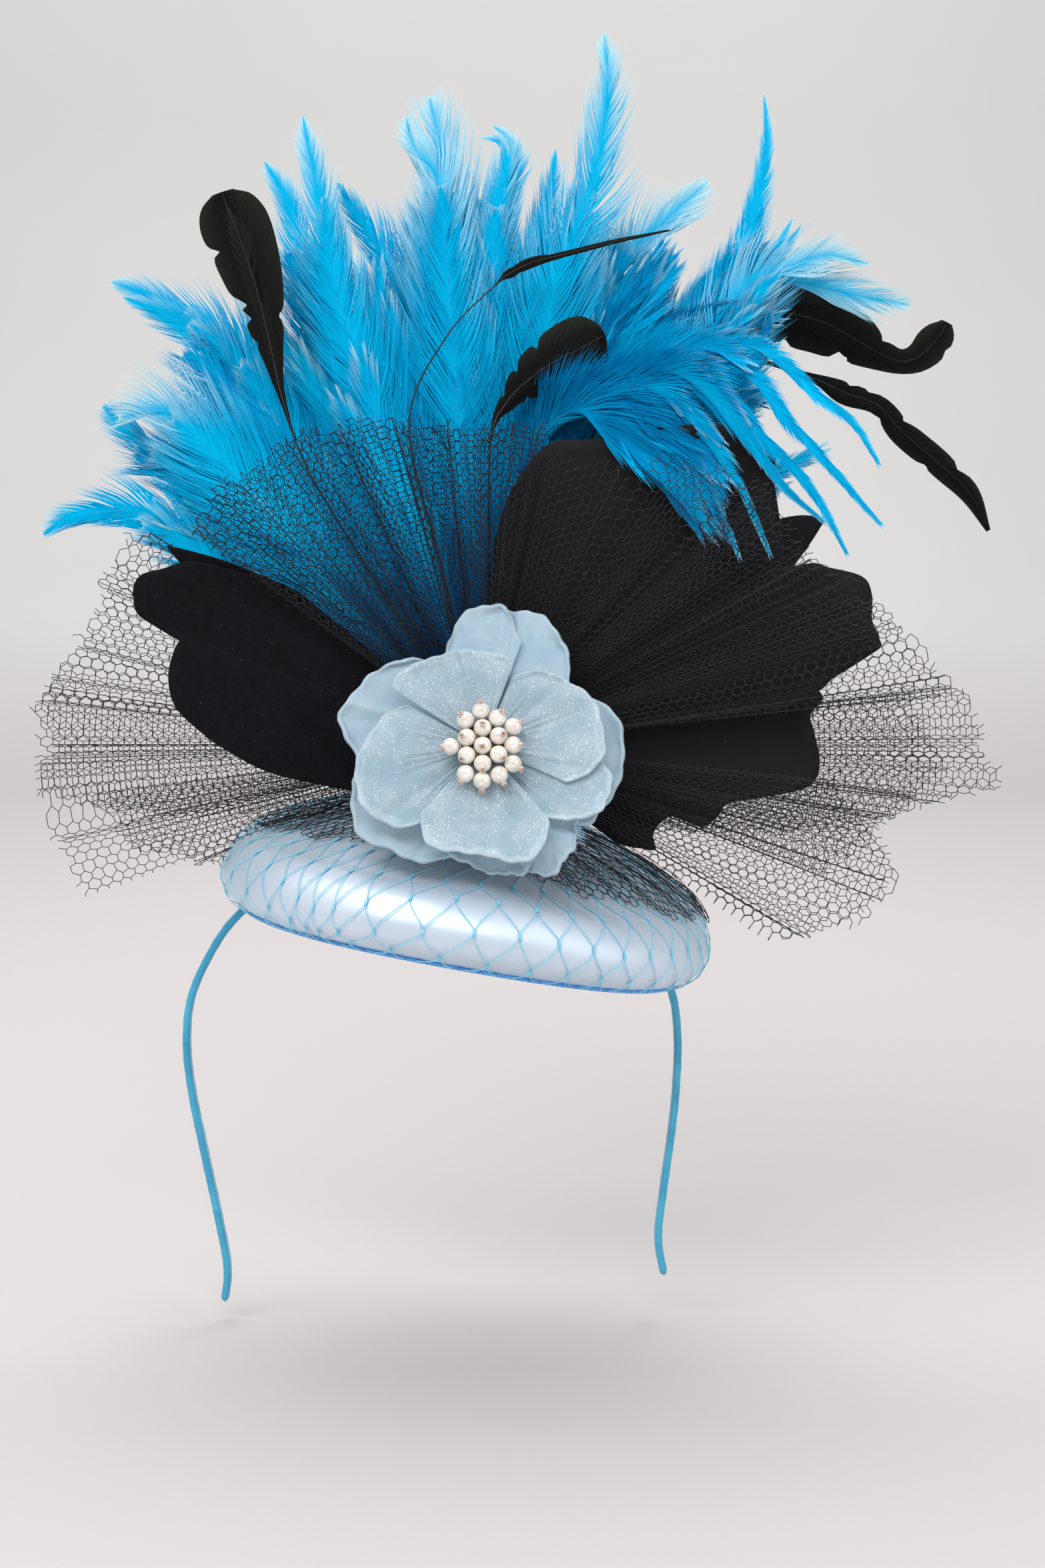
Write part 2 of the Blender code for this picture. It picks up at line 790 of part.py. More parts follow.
def build_plume():
    """Build the blue hackles: blades fused to a wedge-shaped head on the post."""
    layer = LAYERS["plume"]
    rim = [(math.radians(42 + 10.2 * step), PLUME_HEAD_REACH) for step in range(11)]

    def head_depth(across, up, turn, distance, share):
        return layer["depth"] + layer["lean"] * distance

    head = sheet_solid(
        "hackle_plume", rim, head_depth, ROOT_RADIUS, "hackle", 2, PLUME_HEAD_THICKNESS
    )
    blades = []
    for index, blade in enumerate(HACKLES):
        mid = Vector(blade["mid"])
        tip = Vector(blade["tip"])
        start = mid * (26.0 / mid.length)
        lean = blade["lean"]
        inner = mid * 0.62
        shift = 0.9 * math.sin(2.4 * index)
        depths = [layer["depth"] + layer["lean"] * 26 + shift]
        depths += [layer["depth"] + lean * point.length for point in (inner, mid, tip)]
        blades.append(plume_blade([start, inner, mid, tip], blade["width"], depths))
    for index, blade in enumerate(BODY_BLADES):
        angle = math.radians(blade["angle"])
        ray = Vector((math.cos(angle), math.sin(angle)))
        reaches = (24.0, blade["reach"] * 0.6, blade["reach"] * 0.82, blade["reach"])
        lean = layer["lean"] + 0.02 * math.sin(1.7 * index)
        depths = [layer["depth"] + lean * reach for reach in reaches]
        blades.append(plume_blade([ray * r for r in reaches], blade["width"], depths))
    for blade in FALLING:
        path = [Vector(blade["rise"]) * 0.3] + list(blade.values())
        depths = [layer["depth"] + layer["lean"] * path[0].length, *FALLING_DEPTHS]
        blades.append(plume_blade(path, FALLING_WIDTH, depths, 10))
    pieces = [
        add_piece(f"blade_{index:02d}", points, faces, "hackle", smooth=False)
        for index, (points, faces) in enumerate(blades)
    ]
    return fuse(head, pieces)


def fuse(body, pieces):
    """Unite all the pieces with the body in one step and keep the body alone."""
    group = bpy.data.collections.new("pieces")
    for piece in pieces:
        group.objects.link(piece)
    union = body.modifiers.new("union", "BOOLEAN")
    union.operation = "UNION"
    union.solver = "EXACT"
    union.operand_type = "COLLECTION"
    union.collection = group
    graph = bpy.context.evaluated_depsgraph_get()
    merged = bpy.data.meshes.new_from_object(body.evaluated_get(graph))
    body.modifiers.clear()
    old = body.data
    body.data = merged
    body.data.name = body.name
    bpy.data.meshes.remove(old)
    for piece in pieces:
        bpy.data.objects.remove(piece, do_unlink=True)
    bpy.data.collections.remove(group)
    return body


def base_profile():
    """Return the base's section from the dome's top over the roll and back inside.

    Each row is (inset, height, is_dome): the inset is from the outer edge, and for the
    dome it is a share from the roll's top (0) to the centre (1).
    """
    rows = [(share, DOME_RISE, 1) for share in (1.0, 0.75, 0.5, 0.25)]
    for angle in range(90, -91, -30):
        turn = math.radians(angle)
        rows.append((ROLL_RADIUS * (1 - math.cos(turn)), ROLL_RADIUS * (1 + math.sin(turn)), 0))
    inner = ROLL_RADIUS - BASE_WALL
    for angle in (-90, -45, 0, 45, 90):
        turn = math.radians(angle)
        rows.append((ROLL_RADIUS - inner * math.cos(turn), ROLL_RADIUS + inner * math.sin(turn), 0))
    rows += [(share, INNER_RISE, 2) for share in (0.25, 0.5, 0.75, 1.0)]
    return rows


def base_point(inset, height, kind, angle):
    """Return a point of the base before it is placed, bent to the curve of a head."""
    half_x = BASE_HALF_X - ROLL_RADIUS
    half_y = BASE_HALF_Y - ROLL_RADIUS
    if kind == 0:
        reach_x = BASE_HALF_X - inset
        reach_y = BASE_HALF_Y - inset
        z = height
    else:
        wall = 0.0 if kind == 1 else BASE_WALL
        reach_x = half_x * (1 - inset)
        reach_y = half_y * (1 - inset)
        z = 2 * ROLL_RADIUS - wall + height * (1 - (1 - inset) ** 2)
    x = reach_x * math.cos(angle)
    y = reach_y * math.sin(angle)
    bend = BEND_X * (x / BASE_HALF_X) ** 2 + BEND_Y * (y / BASE_HALF_Y) ** 2
    return Vector((x, y, z - bend))


def place_base(piece):
    """Tilt the base forward and to its right and set it on the head."""
    piece.rotation_euler = Euler(
        (math.radians(BASE_TILT_FORWARD), math.radians(BASE_TILT_SIDE), 0.0)
    )
    piece.location = Vector(BASE_CENTRE) * MM
    return piece


def build_base():
    """Build the rolled, domed shell of the base, hollow underneath."""
    points = []
    rings = []
    for inset, height, kind in base_profile():
        if inset == 1.0 and kind:
            rings.append([len(points)])
            points.append(base_point(inset, height, kind, 0.0))
            continue
        rings.append(list(range(len(points), len(points) + BASE_SEGMENTS)))
        for index in range(BASE_SEGMENTS):
            angle = math.tau * index / BASE_SEGMENTS
            points.append(base_point(inset, height, kind, angle))
    return place_base(add_piece("base_shell", points, ring_faces(rings), "satin"))


def build_binding():
    """Build the narrow edge that is sewn under the roll."""
    sides = 5
    points = []
    rings = []
    turn = math.radians(BINDING_PLACE)
    centre_out = ROLL_RADIUS + SEAT_GAP + BINDING_RADIUS
    for index in range(BASE_SEGMENTS + 8):
        angle = math.tau * index / (BASE_SEGMENTS + 8)
        rings.append(list(range(len(points), len(points) + sides)))
        for side in range(sides):
            spin = math.tau * side / sides
            out = centre_out * math.cos(turn) + BINDING_RADIUS * math.cos(spin)
            rise = centre_out * math.sin(turn) + BINDING_RADIUS * math.sin(spin)
            points.append(base_point(ROLL_RADIUS - out, ROLL_RADIUS + rise, 0, angle))
    rings.append(rings[0])
    return place_base(add_piece("base_binding", points, ring_faces(rings), "binding"))


def build_headband():
    """Build the flat wrapped band: an arch over the head with tips that turn out."""
    # Middle of the band, (x, z), from the left tip over the crown to the right tip
    route = [
        (-71, -157),
        (-70, -145),
        (-73, -127),
        (-77, -107),
        (-81, -86),
        (-82.5, -70),
        (-81, -55),
        (-75, -41),
        (-66, -28),
        (-49, -14),
        (-25, -2),
        (0, BAND_THICKNESS / 2),
        (25, -2),
        (48, -12.5),
        (66, -31.6),
        (76.4, -51),
        (79, -67),
        (78.6, -85),
        (77, -101),
        (74.6, -119),
        (73, -135),
        (75, -148),
    ]
    line = smooth_curve([(x, 0, z) for x, z in route], BAND_STATIONS)
    points = []
    rings = []
    for index, middle in enumerate(line):
        before = line[max(index - 1, 0)]
        after = line[min(index + 1, len(line) - 1)]
        along = (after - before).normalized()
        out = Vector((-along.z, 0.0, along.x)) * (BAND_THICKNESS / 2)
        across = Vector((0.0, BAND_WIDTH / 2, 0.0))
        rings.append(list(range(len(points), len(points) + 4)))
        for side_out, side_across in ((1, 1), (1, -1), (-1, -1), (-1, 1)):
            points.append(middle + out * side_out + across * side_across)
    faces = ring_faces(rings)
    faces.append(rings[0][::-1])
    faces.append(rings[-1])
    return add_piece("headband", points, faces, "band_satin")


def build_post(base):
    """Build the plain post: a round boss along the layers, on a foot that fits the dome."""
    bpy.context.view_layer.update()
    shape = bmesh.new()
    shape.from_mesh(base.data)
    shape.transform(base.matrix_world)
    tree = BVHTree.FromBMesh(shape)
    shape.free()
    foot_half = 4.0
    arc = [math.radians(angle) for angle in range(-54, 235, 24)]
    points = []
    rings = []
    rows = 7
    for row in range(rows):
        share = row / (rows - 1)
        rings.append(list(range(len(points), len(points) + len(arc) + 2)))
        for angle in arc:
            across = POST_RADIUS * math.cos(angle)
            up = POST_RADIUS * math.sin(angle)
            front = POST_FRONT + FLOWER_LEAN * up
            points.append(from_front(across, up, front + (POST_BACK - front) * share))
        lowest = -POST_RADIUS
        front = POST_FRONT + FLOWER_LEAN * lowest
        depth = front + (POST_BACK - front) * share
        for side in (-foot_half, foot_half):
            above = from_front(side, lowest, depth)
            hit = tree.ray_cast(above * MM, Vector((0, 0, -1)))[0]
            points.append((above.x, above.y, hit.z / MM + FOOT_GAP))
    faces = ring_faces(rings)
    faces.append(rings[0][::-1])
    faces.append(rings[-1])
    return add_piece("trim_stem", points, faces, "black_felt")


def main():
    """Build every piece of the fascinator."""
    clear_scene()
    base = build_base()
    build_binding()
    build_headband()
    build_post(base)
    build_fans()
    build_black_petals()
    build_plume()
    build_coques()
    build_flower()
    build_pearl_centre()


main()
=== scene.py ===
"""The fascinator's looks: satin base and veil, wrapped headband, net fans, black petals,
feathers and a fabric flower with a pearl centre, lit softly on a plain pale ground.

Lengths are in millimetres until a mesh is made. The trimmings are drawn as the front
view shows them: across and up from the post's axis, with a depth of their own.
"""

import logging
import math
from collections.abc import Sequence
from dataclasses import dataclass
from enum import Enum

import bpy
import numpy as np
from mathutils import Euler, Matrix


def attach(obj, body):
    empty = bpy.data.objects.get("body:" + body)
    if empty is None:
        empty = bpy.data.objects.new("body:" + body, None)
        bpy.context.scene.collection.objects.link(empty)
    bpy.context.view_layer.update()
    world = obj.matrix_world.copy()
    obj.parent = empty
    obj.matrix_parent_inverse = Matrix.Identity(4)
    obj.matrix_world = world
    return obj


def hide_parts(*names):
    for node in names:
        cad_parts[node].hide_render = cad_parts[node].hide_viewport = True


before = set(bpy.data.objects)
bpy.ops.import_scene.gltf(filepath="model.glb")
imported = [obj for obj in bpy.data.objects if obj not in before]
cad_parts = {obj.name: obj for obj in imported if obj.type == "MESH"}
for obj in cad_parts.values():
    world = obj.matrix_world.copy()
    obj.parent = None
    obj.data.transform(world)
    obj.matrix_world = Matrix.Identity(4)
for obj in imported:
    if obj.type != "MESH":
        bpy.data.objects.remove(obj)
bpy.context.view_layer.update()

LOG = logging.getLogger("fascinator")
MM = 0.001
ROOT_RADIUS = 7.3
FIBRE_RELIEF = 0.00006
TOWARD = np.array([0.0, -1.0, 0.0])

Array = np.ndarray
Outline = Sequence[tuple[float, float]]
Colour = tuple[int, int, int]


class Layer(Enum):
    """Where a trimming leaves the post: depth at the axis, and lean back per millimetre."""

    FRONT = (-26.0, -0.16)
    PETAL_FRONT = (-24.2, -0.09)
    PETAL_BACK = (-22.4, -0.02)
    MIDDLE = (-20.6, 0.05)
    BACK = (-18.8, 0.12)
    PLUME = (-13.5, 0.24)
    REAR = (-7.5, 0.36)

    def depth(self, distance: Array) -> Array:
        """Return the depth of this layer at a distance from the axis."""
        start, lean = self.value
        return start + lean * distance


@dataclass(frozen=True)
class FrontView:
    """The front view that the trimmings are drawn in."""

    reach: float = 900.0
    drop: float = math.radians(6.0)
    centre: tuple[float, float, float] = (28.0, 0.0, 16.0)
    axis_across: float = -13.0
    axis_up: float = 12.6

    def eye(self) -> Array:
        """Return the place that the view is seen from."""
        ahead = np.array([0.0, math.cos(self.drop), -math.sin(self.drop)])
        return np.array(self.centre) - ahead * self.reach

    def place(self, across: Array, up: Array, depth: Array) -> Array:
        """Turn places in the front view into points in space.

        Args:
            across: Distance to the right of the post's axis.
            up: Distance above the post's axis.
            depth: The points' y.

        Returns:
            The points, one more dimension than the arguments.
        """
        across, up, depth = np.broadcast_arrays(across, up, depth)
        rise = self.axis_up + up
        ray_y = math.cos(self.drop) * self.reach + math.sin(self.drop) * rise
        ray_z = -math.sin(self.drop) * self.reach + math.cos(self.drop) * rise
        eye = self.eye()
        share = (depth - eye[1]) / ray_y
        x = eye[0] + (self.axis_across + across) * share
        return np.stack([x, depth, eye[2] + ray_z * share], axis=-1)

    def spread(self, distance: Array, angle: Array, depth: Array) -> tuple[Array, Array]:
        """Return the points at this distance and angle, and where they lie on the flat cloth."""
        across, up = distance * np.cos(angle), distance * np.sin(angle)
        return self.place(across, up, depth), np.stack([across, up, 0 * distance], axis=-1)


FRONT_VIEW = FrontView()


def smooth_curve(points: list | Array, count: int) -> Array:
    """Return count evenly spaced points on a smooth curve through the given ones.

    Args:
        points: The points that the curve passes, of any dimension.
        count: How many points to return.

    Returns:
        An array of count rows.
    """
    knots = np.asarray(points, dtype=float)
    knots = np.vstack([2 * knots[0] - knots[1], knots, 2 * knots[-1] - knots[-2]])
    t = np.linspace(0, 1, 12, endpoint=False)[:, None]
    spans = []
    for a, b, c, d in zip(knots, knots[1:], knots[2:], knots[3:]):
        curve = 2 * b + (c - a) * t + (2 * a - 5 * b + 4 * c - d) * t**2
        spans.append(0.5 * (curve + (3 * b - a - 3 * c + d) * t**3))
    return even_points(np.vstack(spans + [knots[-2][None]]), count)


def even_points(line: Array, count: int) -> Array:
    """Return count points at equal steps along a line of points."""
    steps = np.linalg.norm(np.diff(line, axis=0), axis=1)
    length = np.concatenate([[0.0], np.cumsum(steps)])
    goal = np.linspace(0, length[-1], count)
    return np.stack([np.interp(goal, length, column) for column in line.T], axis=1)


def polar_rim(outline: Outline, columns: int) -> tuple[Array, Array]:
    """Return the angle and reach of a sheet's rim, with the angle always growing."""
    line = smooth_curve(outline, columns)
    angles = np.unwrap(np.arctan2(line[:, 1], line[:, 0]))
    least = math.radians(0.25) * np.arange(columns)
    angles = np.maximum.accumulate(angles - least) + least
    return angles, np.hypot(line[:, 0], line[:, 1])


def unit(vectors: Array) -> Array:
    """Return the vectors at length one."""
    length = np.linalg.norm(vectors, axis=-1, keepdims=True)
    return vectors / np.maximum(length, 1e-9)


def smooth_step(value: Array, low: float, high: float) -> Array:
    """Return 0 below low and 1 above high, with a soft change between them."""
    share = np.clip((value - low) / (high - low), 0, 1)
    return share * share * (3 - 2 * share)


def circle_angles(count: int) -> Array:
    """Return equal steps round a circle, from 0 on."""
    return np.arange(count) * math.tau / count


def grid_faces(rows: int, columns: int, ring_rows: bool = False, ring_columns: bool = False) -> Array:
    """Return the faces between the points of a grid, which may close on itself."""
    row, column = np.meshgrid(
        np.arange(rows - (not ring_rows)), np.arange(columns - (not ring_columns)), indexing="ij",
    )
    next_row = (row + 1) % rows
    next_column = (column + 1) % columns
    corners = [
        row * columns + column,
        next_row * columns + column,
        next_row * columns + next_column,
        row * columns + next_column,
    ]
    return np.stack(corners, axis=-1).reshape(-1, 4)


class MeshDraft:
    """The points, faces and marks of one piece, gathered before its mesh is made.

    A mark is a value at each point that the materials read, such as how far along a
    barb it lies. Every addition to a draft gives the same marks.
    """

    def __init__(self) -> None:
        """Start with nothing."""
        self.points: list[Array] = []
        self.corners: list[Array] = []
        self.sizes: list[Array] = []
        self.marks: dict[str, list[Array]] = {}
        self.count = 0

    def add(self, points: Array, faces: list[Array], **marks: Array) -> None:
        """Add points with their faces and marks.

        Args:
            points: The points, in millimetres.
            faces: Arrays of corner numbers, one array for each number of corners.
            **marks: Values or vectors at each point, or one value for all.
        """
        points = points.reshape(-1, 3)
        self.points.append(points)
        for group in faces:
            self.corners.append((group + self.count).ravel())
            self.sizes.append(np.full(len(group), group.shape[1]))
        for name, values in marks.items():
            values = np.asarray(values, dtype=float)
            shape = (len(points), 3) if name == "cloth" else (len(points),)
            values = values.reshape(shape) if values.size > 1 else np.full(shape, float(values))
            self.marks.setdefault(name, []).append(values)
        self.count += len(points)

    def add_grid(self, points: Array, rings: tuple[bool, bool] = (False, False), **marks: Array) -> None:
        """Add a grid of points as a surface, closed along the directions that rings says."""
        rows, columns = points.shape[:2]
        self.add(points, [grid_faces(rows, columns, *rings)], **marks)

    def add_caps(self, rows: int, columns: int) -> None:
        """Close the first and last row of a grid that was added to an empty draft."""
        for end in (np.arange(columns)[::-1], (rows - 1) * columns + np.arange(columns)):
            self.corners.append(end)
            self.sizes.append(np.array([columns]))

    def add_shell(self, middle: Array, thickness: float | Array, **marks: Array) -> None:
        """Add a closed sheet of this thickness round a grid of points.

        Args:
            middle: The sheet's middle, columns by rows by 3.
            thickness: How thick it is, one value or one for each point.
            **marks: Values at each point of the grid.
        """
        columns, rows = middle.shape[:2]
        normal = unit(np.cross(np.gradient(middle, axis=0), np.gradient(middle, axis=1)))
        half = normal * np.asarray(thickness * np.ones((columns, rows)))[..., None] / 2
        layer = columns * rows
        faces = grid_faces(columns, rows)
        edge = [column * rows for column in range(columns)]
        edge += [(columns - 1) * rows + row for row in range(1, rows)]
        edge += [column * rows + rows - 1 for column in range(columns - 2, -1, -1)]
        edge += list(range(rows - 2, 0, -1))
        first = np.array(edge)
        second = np.roll(first, -1)
        side = np.stack([first, first + layer, second + layer, second], axis=1)
        both = {}
        for name, values in marks.items():
            flat = np.asarray(values, dtype=float)
            if flat.size > 1:
                flat = flat.reshape(layer, -1)
                flat = np.vstack([flat, flat])
            both[name] = flat
        points = np.vstack([(middle + half).reshape(-1, 3), (middle - half).reshape(-1, 3)])
        self.add(points, [faces, faces[:, ::-1] + layer, side], **both)

    def add_rods(self, starts: Array, ends: Array, radius: float, sides: int = 3) -> None:
        """Add a thin straight rod for each pair of points."""
        axis = unit(ends - starts)
        steep = np.abs(axis[:, 1:2]) > 0.9
        across = unit(np.cross(axis, np.where(steep, [[0.0, 0.0, 1.0]], [[0.0, 1.0, 0.0]])))
        over = np.cross(axis, across)
        turn = circle_angles(sides)
        ring = across[:, None] * np.cos(turn)[:, None] + over[:, None] * np.sin(turn)[:, None]
        ring = ring * radius
        points = np.concatenate([starts[:, None] + ring, ends[:, None] + ring], axis=1)
        side = np.arange(sides)
        after = (side + 1) % sides
        face = np.stack([side, after, after + sides, side + sides], axis=1)
        faces = (np.arange(len(starts))[:, None, None] * 2 * sides + face).reshape(-1, 4)
        self.add(points, [faces])

    def add_tube(self, path: Array, radius: Array, sides: int, facing: Array, ring: bool = False) -> None:
        """Add a tube along a path; facing is a direction that the path never follows.

        Args:
            path: Points along the tube's middle.
            radius: One radius a point, or one for each point and side.
            sides: Number of points round the tube.
            facing: Direction that sets where the sides start.
            ring: Whether the path closes on itself.
        """
        along = unit(np.gradient(path, axis=0))
        if ring:
            along = unit(np.roll(path, -1, axis=0) - np.roll(path, 1, axis=0))
        across = unit(np.cross(along, facing))
        over = np.cross(along, across)
        turn = circle_angles(sides)
        size = radius[:, None] if radius.ndim == 1 else radius
        size = np.broadcast_to(size, (len(path), sides))[..., None]
        circle = across[:, None] * np.cos(turn)[:, None] + over[:, None] * np.sin(turn)[:, None]
        points = path[:, None] + circle * size
        faces = [grid_faces(len(path), sides, ring, True)[:, ::-1]]
        if not ring:
            faces.append(np.arange(sides)[None, ::-1])
            faces.append((len(path) - 1) * sides + np.arange(sides)[None])
        self.add(points, faces)

    def build(
        self, name: str, material: bpy.types.Material, slot: str, stands_for: list[str],
    ) -> bpy.types.Object:
        """Make the piece, let it ride on the body and stand for its CAD nodes.

        Args:
            name: The piece's name.
            material: Its finish.
            slot: Not used; it names the record's material slot that the finish belongs to.
            stands_for: The nodes that it replaces.

        Returns:
            The finished object.
        """
        mesh = bpy.data.meshes.new(name)
        mesh.vertices.add(self.count)
        mesh.vertices.foreach_set("co", (np.vstack(self.points) * MM).ravel())
        corners = np.concatenate(self.corners)
        sizes = np.concatenate(self.sizes)
        mesh.loops.add(len(corners))
        mesh.loops.foreach_set("vertex_index", corners.astype(np.int32))
        mesh.polygons.add(len(sizes))
        starts = np.concatenate([[0], np.cumsum(sizes)[:-1]])
        mesh.polygons.foreach_set("loop_start", starts.astype(np.int32))
        mesh.update(calc_edges=True)
        mesh.shade_smooth()
        for mark, values in self.marks.items():
            vector = mark == "cloth"
            layer = mesh.attributes.new(mark, "FLOAT_VECTOR" if vector else "FLOAT", "POINT")
            layer.data.foreach_set("vector" if vector else "value", np.concatenate(values).ravel())
        piece = bpy.data.objects.new(name, mesh)
        piece.data.materials.append(material)
        bpy.context.scene.collection.objects.link(piece)
        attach(piece, "root")
        if stands_for:
            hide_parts(*stands_for)
        LOG.info("%s: %d faces", name, len(sizes))
        return piece


def linear(colour: Colour) -> tuple[float, float, float, float]:
    """Turn a colour from 0 to 255, as seen, into Blender's linear scale."""
    parts = []
    for part in colour:
        value = part / 255
        parts.append(value / 12.92 if value <= 0.04045 else ((value + 0.055) / 1.055) ** 2.4)
    return (*parts, 1.0)


class Effect(Enum):
    """Surface effects that several finishes share, each one shader node group."""

    WEAVE = "woven_threads"
    MOTTLE = "mottled_colour"
    FLECKS = "scattered_flecks"
    BARBS = "barb_colour"

    def group(self) -> bpy.types.NodeTree:
        """Return this effect's node group, and build it the first time."""
        if self.value in bpy.data.node_groups:
            return bpy.data.node_groups[self.value]
        tree = bpy.data.node_groups.new(self.value, "ShaderNodeTree")
        builders = {
            Effect.WEAVE: build_weave,
            Effect.MOTTLE: build_mottle,
            Effect.FLECKS: build_flecks,
            Effect.BARBS: build_barbs,
        }
        builders[self](NodeDraft(tree))
        return tree


class NodeDraft:
    """A node tree in the making, for a group or a material."""

    def __init__(self, tree: bpy.types.NodeTree) -> None:
        """Keep the tree that nodes are added to."""
        self.tree = tree

    def add(self, kind: str, inputs: dict | None = None, **settings: object) -> bpy.types.Node:
        """Add a node, set its options, and give or link its inputs.

        Args:
            kind: The node's type without its ShaderNode prefix.
            inputs: Value or output socket for each input's name or number.
            **settings: The node's own options.

        Returns:
            The new node.
        """
        prefix = "" if kind.startswith("NodeGroup") else "ShaderNode"
        node = self.tree.nodes.new(prefix + kind)
        for key, value in settings.items():
            setattr(node, key, value)
        self.give(node, inputs or {})
        return node

    def give(self, node: bpy.types.Node, inputs: dict) -> None:
        """Set or link a node's inputs, by name or number."""
        for key, value in inputs.items():
            if isinstance(value, bpy.types.NodeSocket):
                self.tree.links.new(value, node.inputs[key])
            else:
                node.inputs[key].default_value = value

    def math(self, operation: str, first: object, second: object = 0.0) -> bpy.types.NodeSocket:
        """Return the result of a math node."""
        return self.add("Math", {0: first, 1: second}, operation=operation).outputs[0]

    def line(self, value: object, slope: float, offset: float) -> bpy.types.NodeSocket:
        """Return the value times a slope, plus an offset."""
        node = self.add("Math", {0: value, 1: slope, 2: offset}, operation="MULTIPLY_ADD")
        return node.outputs[0]

    def mix(self, share: object, low: object, high: object) -> bpy.types.NodeSocket:
        """Return a colour between low and high."""
        node = self.add("Mix", {0: share, 6: low, 7: high}, data_type="RGBA")
        return node.outputs[2]

    def stretch(self, value: object, low: float, high: float) -> bpy.types.NodeSocket:
        """Return the value spread from low..high to 0..1, and clamped."""
        node = self.add("MapRange", {0: value, 1: low, 2: high}, interpolation_type="SMOOTHSTEP")
        return node.outputs[0]

    def effect(self, effect: Effect, **inputs: object) -> bpy.types.Node:
        """Place one of the shared effects, with its inputs by name."""
        node = self.tree.nodes.new("ShaderNodeGroup")
        node.node_tree = effect.group()
        self.give(node, inputs)
        return node

    def ends(self, inputs: dict[str, object], outputs: dict[str, str]) -> tuple:
        """Add the group's inputs and outputs.

        Args:
            inputs: Each input's default, or None for a vector and "Color" for a colour.
            outputs: Each output's kind of socket.

        Returns:
            The sockets that give the inputs, and those that take the outputs.
        """
        new = self.tree.interface.new_socket
        for name, default in inputs.items():
            number = isinstance(default, float)
            kind = "Float" if number else default or "Vector"
            item = new(name=name, in_out="INPUT", socket_type=f"NodeSocket{kind}")
            if number:
                item.default_value = default
        for name, kind in outputs.items():
            new(name=name, in_out="OUTPUT", socket_type=f"NodeSocket{kind}")
        return self.add("NodeGroupInput").outputs, self.add("NodeGroupOutput").inputs


def build_weave(draft: NodeDraft) -> None:
    """Build crossing threads: a height from the place on the cloth, in millimetres."""
    given, made = draft.ends({"Place": None, "Thread": 0.4, "Twill": 0.5}, {"Height": "Float"})
    place = draft.add("SeparateXYZ", {0: given["Place"]})
    turn = draft.math("DIVIDE", math.tau, given["Thread"])
    across = draft.math("MULTIPLY", place.outputs[0], turn)
    along = draft.math("MULTIPLY", place.outputs[1], turn)
    plain = draft.math("MULTIPLY", draft.math("SINE", across), draft.math("SINE", along))
    slant = draft.math("SINE", draft.math("ADD", across, along))
    mixed = draft.add("Mix", {0: given["Twill"], 2: plain, 3: slant}, data_type="FLOAT")
    draft.tree.links.new(draft.line(mixed.outputs[0], 0.5, 0.5), made["Height"])


def build_mottle(draft: NodeDraft) -> None:
    """Build a soft drift between two colours, and its value for heights."""
    given, made = draft.ends(
        {"Place": None, "Scale": 1.0, "Low": "Color", "High": "Color"}, {"Color": "Color", "Value": "Float"},
    )
    settings = {"Vector": given["Place"], "Scale": given["Scale"], "Detail": 5.0, "Roughness": 0.6}
    value = draft.stretch(draft.add("TexNoise", settings).outputs[0], 0.3, 0.7)
    draft.tree.links.new(draft.mix(value, given["Low"], given["High"]), made["Color"])
    draft.tree.links.new(value, made["Value"])


def build_flecks(draft: NodeDraft) -> None:
    """Build scattered round flecks, such as glitter, lint or dust, as a mask."""
    given, made = draft.ends({"Place": None, "Scale": 1.0, "Share": 0.2, "Size": 0.2}, {"Mask": "Float"})
    cells = draft.add("TexVoronoi", {"Vector": given["Place"], "Scale": given["Scale"]})
    chance = draft.add("SeparateColor", {0: cells.outputs["Color"]})
    near = draft.math("LESS_THAN", cells.outputs["Distance"], given["Size"])
    picked = draft.math("LESS_THAN", chance.outputs[0], given["Share"])
    draft.tree.links.new(draft.math("MULTIPLY", near, picked), made["Mask"])


def build_barbs(draft: NodeDraft) -> None:
    """Build a feather's colour: a painted shade near its root, paler towards its tip, streaked by barbs."""
    values = dict.fromkeys(("Along", "Rise", "Tone", "Streak"), 0.5)
    colours = dict.fromkeys(("Shade_Colour", "Body", "Pale"), "Color")
    given, made = draft.ends({**values, **colours}, {"Color": "Color", "Streaks": "Float"})
    # The painted shade near the root gives way to the body's colour over this part of the feather, less so
    # at a low tone
    near = draft.stretch(given["Rise"], 0.12, 0.6)
    bright = draft.math("MINIMUM", draft.line(given["Tone"], 1.6, 0.25), 1.0)
    body = draft.mix(draft.math("MULTIPLY", near, bright), given["Shade_Colour"], given["Body"])
    # The pale colour comes in towards the tip, and at the barbs' ends first: on the hackles their own pale
    # tips, on the black coque a painted greenish sheen
    outward = draft.math("MULTIPLY", draft.math("ADD", given["Along"], 0.55), 0.62)
    tip = draft.math("POWER", given["Rise"], 1.5)
    far = draft.math("ADD", draft.math("MULTIPLY", tip, outward), draft.math("MULTIPLY", given["Tone"], 0.5))
    pale = draft.mix(draft.stretch(far, 0.68, 1.22), body, given["Pale"])
    settings = {"W": given["Streak"], "Scale": 2.2, "Detail": 3.0, "Roughness": 0.7}
    streaks = draft.stretch(draft.add("TexNoise", settings, noise_dimensions="1D").outputs[0], 0.3, 0.7)
    share = draft.math("MULTIPLY", draft.math("SUBTRACT", 1.0, streaks), 0.2)
    draft.tree.links.new(draft.mix(share, pale, given["Shade_Colour"]), made["Color"])
    draft.tree.links.new(streaks, made["Streaks"])


